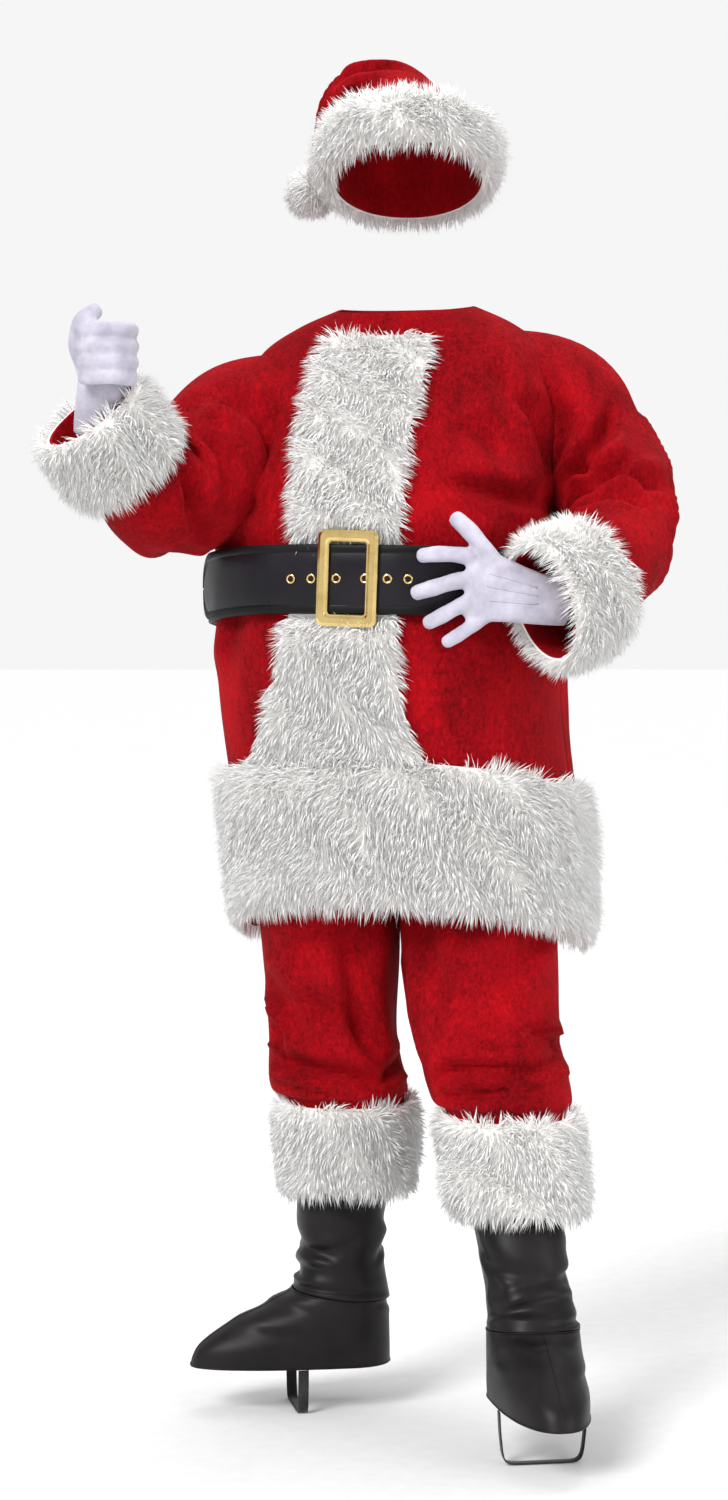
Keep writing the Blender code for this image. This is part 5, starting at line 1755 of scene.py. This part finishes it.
@dataclass(frozen=True)
class Finger:
    """A finger of a glove: its radius and the points along it."""

    radius: float
    points: Sequence[tuple[float, float, float]]


LEFT_PALM = (
    Bend(0.208, -0.246, 1.092, 0.019, 0.033),
    Bend(0.180, -0.257, 1.092, 0.018, 0.032),
    Bend(0.150, -0.261, 1.098, 0.017, 0.036),
    Bend(0.112, -0.256, 1.107, 0.016, 0.043),
    Bend(0.080, -0.254, 1.109, 0.011, 0.040),
)
LEFT_FINGERS = (
    Finger(0.0118, ((0.136, -0.258, 1.112), (0.110, -0.257, 1.148), (0.086, -0.254, 1.178),
                    (0.063, -0.246, 1.200))),
    Finger(0.0108, ((0.110, -0.250, 1.140), (0.078, -0.258, 1.148), (0.046, -0.258, 1.150),
                    (0.018, -0.254, 1.147))),
    Finger(0.0110, ((0.105, -0.252, 1.120), (0.070, -0.259, 1.116), (0.038, -0.260, 1.107),
                    (0.011, -0.256, 1.099))),
    Finger(0.0104, ((0.108, -0.251, 1.098), (0.078, -0.257, 1.087), (0.050, -0.257, 1.072),
                    (0.027, -0.253, 1.060))),
    Finger(0.0094, ((0.118, -0.249, 1.080), (0.092, -0.254, 1.062), (0.070, -0.254, 1.047),
                    (0.051, -0.250, 1.036))),
)
RIGHT_PALM = (
    Bend(-0.390, -0.216, 1.304, 0.028, 0.021),
    Bend(-0.389, -0.230, 1.330, 0.026, 0.019),
    Bend(-0.380, -0.243, 1.358, 0.031, 0.019),
    Bend(-0.372, -0.248, 1.396, 0.034, 0.018),
    Bend(-0.368, -0.250, 1.434, 0.029, 0.015),
)
RIGHT_THUMB = Finger(0.0118, ((-0.398, -0.246, 1.378), (-0.408, -0.262, 1.412), (-0.400, -0.284, 1.440),
                              (-0.376, -0.292, 1.456)))
CURL_CENTRE = (-0.369, -0.274)
CURL_SIZE = (0.029, 0.028)
CURL_TURNS = (125.0, -115.0)
CURLS = ((1.429, 0.0110), (1.409, 0.0113), (1.389, 0.0110), (1.370, 0.0100))
FINGER_HINT = (0.31, -0.22, 0.93)


@dataclass
class Glove:
    """A knitted glove: palm and fingers grown into one form, open at the wrist."""

    side: str
    palm: Sequence[Bend]
    fingers: Sequence[Finger]
    hint: tuple[float, float, float]
    stitches: Sequence[tuple[tuple[float, float, float], tuple[float, float, float]]]
    voxel: float = 0.0027

    def closed(self, tube: Tube, steps: int, columns: int, made: bmesh.types.BMesh) -> None:
        """Adds a tube with its ends shut to a bmesh."""
        points = tube.grid(even(0.0, 1.0, steps), even(-180.0, 180.0, columns), 0.0)
        mesh = sheet_mesh("part", points, wrap=True)
        part = bmesh.new()
        part.from_mesh(mesh)
        bmesh.ops.holes_fill(part, edges=part.edges)
        bmesh.ops.recalc_face_normals(part, faces=part.faces)
        part.to_mesh(mesh)
        part.free()
        made.from_mesh(mesh)
        bpy.data.meshes.remove(mesh)

    def finger_tube(self, finger: Finger) -> BentTube:
        """A finger's tube, with a round tip and slight swells at its joints."""
        rows = []
        for t in even(0.0, 1.0, 28):
            spot = row_at([Joint(*point) for point in finger.points], t)
            tip = math.sqrt(max(1.0 - (max(t - 0.84, 0.0) / 0.163) ** 2, 0.02))
            swell = 1.0 + 0.035 * math.cos(t * 19.0)
            size = finger.radius * tip * swell * (1.0 - 0.06 * t)
            rows.append(Bend(*spot, size, size))
        return BentTube(rows, hint=FINGER_HINT)

    def build(self) -> None:
        """Makes the glove."""
        made = bmesh.new()
        self.closed(BentTube(self.palm, hint=self.hint), 24, 32, made)
        for finger in self.fingers:
            self.closed(self.finger_tube(finger), 40, 18, made)
        rough = bpy.data.meshes.new("glove_form")
        made.to_mesh(rough)
        made.free()
        form = bpy.data.objects.new("glove_form", rough)
        bpy.context.scene.collection.objects.link(form)
        remesh = form.modifiers.new("grow", "REMESH")
        remesh.mode = "VOXEL"
        remesh.voxel_size = self.voxel
        smooth = form.modifiers.new("soften", "SMOOTH")
        smooth.factor = 0.6
        smooth.iterations = 5
        bpy.context.view_layer.update()
        mesh = bpy.data.meshes.new_from_object(form.evaluated_get(bpy.context.evaluated_depsgraph_get()))
        bpy.data.objects.remove(form)
        bpy.data.meshes.remove(rough)
        start, after = Vector(self.palm[0][:3]), Vector(self.palm[1][:3])
        start.z -= HOLD_HEIGHT
        after.z -= HOLD_HEIGHT
        run = (after - start).normalized()
        made = bmesh.new()
        made.from_mesh(mesh)
        bmesh.ops.bisect_plane(made, geom=made.verts[:] + made.edges[:] + made.faces[:],
                               plane_co=start + run * 0.004, plane_no=run, clear_inner=True)
        made.to_mesh(mesh)
        tree = BVHTree.FromBMesh(made)
        made.free()
        mesh.name = f"glove_{self.side}"
        glove = place(f"glove_{self.side}_knit", mesh, Look.GLOVE)
        wall(glove, KNIT)
        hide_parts(f"glove_{self.side}")
        for k, (first, last) in enumerate(self.stitches):
            path = []
            for share in even(0.0, 1.0, 24):
                spot = Vector(first).lerp(Vector(last), share) - Vector((0.0, 0.0, HOLD_HEIGHT))
                near, normal, _, _ = tree.find_nearest(spot)
                path.append(tuple(near + normal * 0.0002))
            swept(f"glove_stitch_{self.side}_{k + 1}", np.array(path), 0.0011, Look.GLOVE)
        flat, area = self.knitted()
        report(glove)

    def knitted(self) -> tuple[tuple[float, float], float]:
        """The glove's cut: a palm and fingers knitted as tubes, less what each hides in another.

        Returns:
            The (width, length) all round, with the thumb beside the palm and the longest finger
            beyond it, and the knitted area.
        """
        tubes = [BentTube(self.palm, hint=self.hint), *(self.finger_tube(finger) for finger in self.fingers)]
        hollows = [Hollow(tube) for tube in tubes]
        cuts, area = [], 0.0
        for tube in tubes:
            points = tube.grid(even(0.0, 1.0, 40), even(-180.0, 180.0, 32), 0.0, bare=True)
            cuts.append(cut_of(points)[0])
            pattern = sheet_mesh("pattern", points)
            for hollow in hollows:
                if hollow.tube is not tube:
                    trim_inside(pattern, hollow, PLUSH)
            area += sum(face.area for face in pattern.polygons)
            bpy.data.meshes.remove(pattern)
        palm, thumb = cuts[0], cuts[-1]
        return (palm[0] + thumb[0], palm[1] + max(cut[1] for cut in cuts[1:])), area


def curled(count: int = 8) -> list[Finger]:
    """The closed glove's four fingers, each a curl round one upright line."""
    made = []
    for height, radius in CURLS:
        points = []
        for angle in even(*CURL_TURNS, count - 1):
            turn = math.radians(angle)
            points.append((CURL_CENTRE[0] + CURL_SIZE[0] * math.sin(turn),
                           CURL_CENTRE[1] - CURL_SIZE[1] * math.cos(turn), height))
        made.append(Finger(radius, points))
    return made


# The studio.


@dataclass
class Studio:
    """The floor, the lights and the camera."""

    floor_z: float = -1.4695
    camera_at: tuple[float, float, float] = (-0.048, -4.5, -0.36)
    pitch: float = 2.8
    lens: float = 80.6

    def floor(self) -> None:
        """A wide pale floor."""
        made = bmesh.new()
        bmesh.ops.create_grid(made, x_segments=4, y_segments=4, size=40.0)
        bmesh.ops.translate(made, verts=made.verts, vec=(0.0, 0.0, self.floor_z))
        mesh = bpy.data.meshes.new("floor")
        made.to_mesh(mesh)
        made.free()
        floor = bpy.data.objects.new("floor", mesh)
        bpy.context.scene.collection.objects.link(floor)
        mesh.materials.append(Look.FLOOR.material())
        floor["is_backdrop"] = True

    def light(self, name: str, at: tuple[float, float, float], size: float, power: float,
              aim: tuple[float, float, float] = (0.0, 0.0, -0.5)) -> None:
        """A soft square light aimed at a point."""
        lamp = bpy.data.lights.new(name, "AREA")
        lamp.size = size
        lamp.energy = power
        holder = bpy.data.objects.new(name, lamp)
        holder.location = at
        holder.rotation_euler = (Vector(aim) - Vector(at)).to_track_quat("-Z", "Y").to_euler()
        bpy.context.scene.collection.objects.link(holder)

    def sun(self, name: str, way: tuple[float, float, float], spread: float, strength: float) -> None:
        """A broad, far light that shines from a direction."""
        lamp = bpy.data.lights.new(name, "SUN")
        lamp.angle = math.radians(spread)
        lamp.energy = strength
        holder = bpy.data.objects.new(name, lamp)
        holder.rotation_euler = (-Vector(way)).to_track_quat("-Z", "Y").to_euler()
        bpy.context.scene.collection.objects.link(holder)

    def build(self) -> None:
        """Makes the studio."""
        scene = bpy.context.scene
        self.floor()
        self.sun("key", (-2.2, -3.4, 3.0), 24.0, 2.35)
        self.sun("fill", (3.2, -2.6, 1.2), 30.0, 0.85)
        self.light("top", (0.3, 0.8, 3.4), 2.0, 70.0)
        world = bpy.data.worlds.new("studio")
        world.use_nodes = True
        sky = world.node_tree.nodes["Background"]
        sky.inputs["Color"].default_value = (1.0, 1.0, 1.0, 1.0)
        w = Wiring(world.node_tree)
        seen = w.add("ShaderNodeLightPath")
        strength = w.add("ShaderNodeMath", operation="MULTIPLY_ADD", in_1=0.32, in_2=0.60)
        w.link(seen, "Is Camera Ray", strength, 0)
        w.link(strength, 0, sky, "Strength")
        scene.world = world
        lens = bpy.data.cameras.new("camera")
        lens.lens = self.lens
        lens.sensor_width = 36.0
        lens.clip_end = 60.0
        camera = bpy.data.objects.new("camera", lens)
        camera.location = self.camera_at
        camera.rotation_euler = (math.radians(90.0 - self.pitch), 0.0, 0.0)
        scene.collection.objects.link(camera)
        scene.camera = camera
        scene.view_settings.view_transform = "Standard"
        scene.view_settings.look = "None"


def main() -> None:
    """Builds the suit's looks."""
    logging.basicConfig(level=logging.INFO, format="%(message)s")
    body = StandingTube(COAT_RINGS, COAT_CREASES, 0.92, 0.21, 0.0020, 3, 1.5)
    right_arm = BentTube(RIGHT_ARM, RIGHT_ARM_CREASES, 0.42, 0.085, 0.0016, 4, 1.8)
    left_arm = BentTube(LEFT_ARM, LEFT_ARM_CREASES, 0.42, 0.085, 0.0016, 5, 1.9)
    Coat(body, right_arm, left_arm).build()
    Belt(body).build()
    Hat(BentTube(HAT_CROWN, HAT_CREASES, 0.36, 0.07, 0.0012, 6, hint=(0.0, -1.0, 0.0))).build()
    Trousers({
        "right": LegTube(RIGHT_LEG, RIGHT_LEG_CREASES, 0.72, 0.095, 0.0016, 7, 2.1, -1.0),
        "left": LegTube(LEFT_LEG, LEFT_LEG_CREASES, 0.74, 0.095, 0.0016, 8, 2.1, 1.0),
    }).build()
    for side, shaft, foot, seed in (("right", RIGHT_SHAFT, RIGHT_FOOT, 9),
                                    ("left", LEFT_SHAFT, LEFT_FOOT, 10)):
        BootCover(side, StandingTube(shaft, SHAFT_CREASES, 0.22, 0.058, 0.0010, seed, 0.75),
                  StandingTube(foot, FOOT_CREASES, 0.10, 0.09, 0.0006, seed, 0.8)).build()
    Glove("left", LEFT_PALM, LEFT_FINGERS, (0.0, 0.0, 1.0), (
        ((0.172, -0.290, 1.110), (0.108, -0.285, 1.128)),
        ((0.172, -0.290, 1.098), (0.104, -0.285, 1.110)),
        ((0.172, -0.290, 1.086), (0.108, -0.285, 1.090)),
    )).build()
    Glove("right", RIGHT_PALM, [*curled(), RIGHT_THUMB], (0.0, -1.0, 0.0), (
        ((-0.400, -0.215, 1.345), (-0.386, -0.215, 1.405)),
        ((-0.386, -0.215, 1.345), (-0.370, -0.215, 1.408)),
        ((-0.372, -0.215, 1.345), (-0.354, -0.215, 1.405)),
    )).build()
    Studio().build()
    graph = bpy.context.evaluated_depsgraph_get()
    total = sum(sum(len(face.vertices) - 2 for face in piece.evaluated_get(graph).data.polygons)
                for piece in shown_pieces())
    log.info("triangles in all: %d", total)


if __name__ == "__main__":
    main()
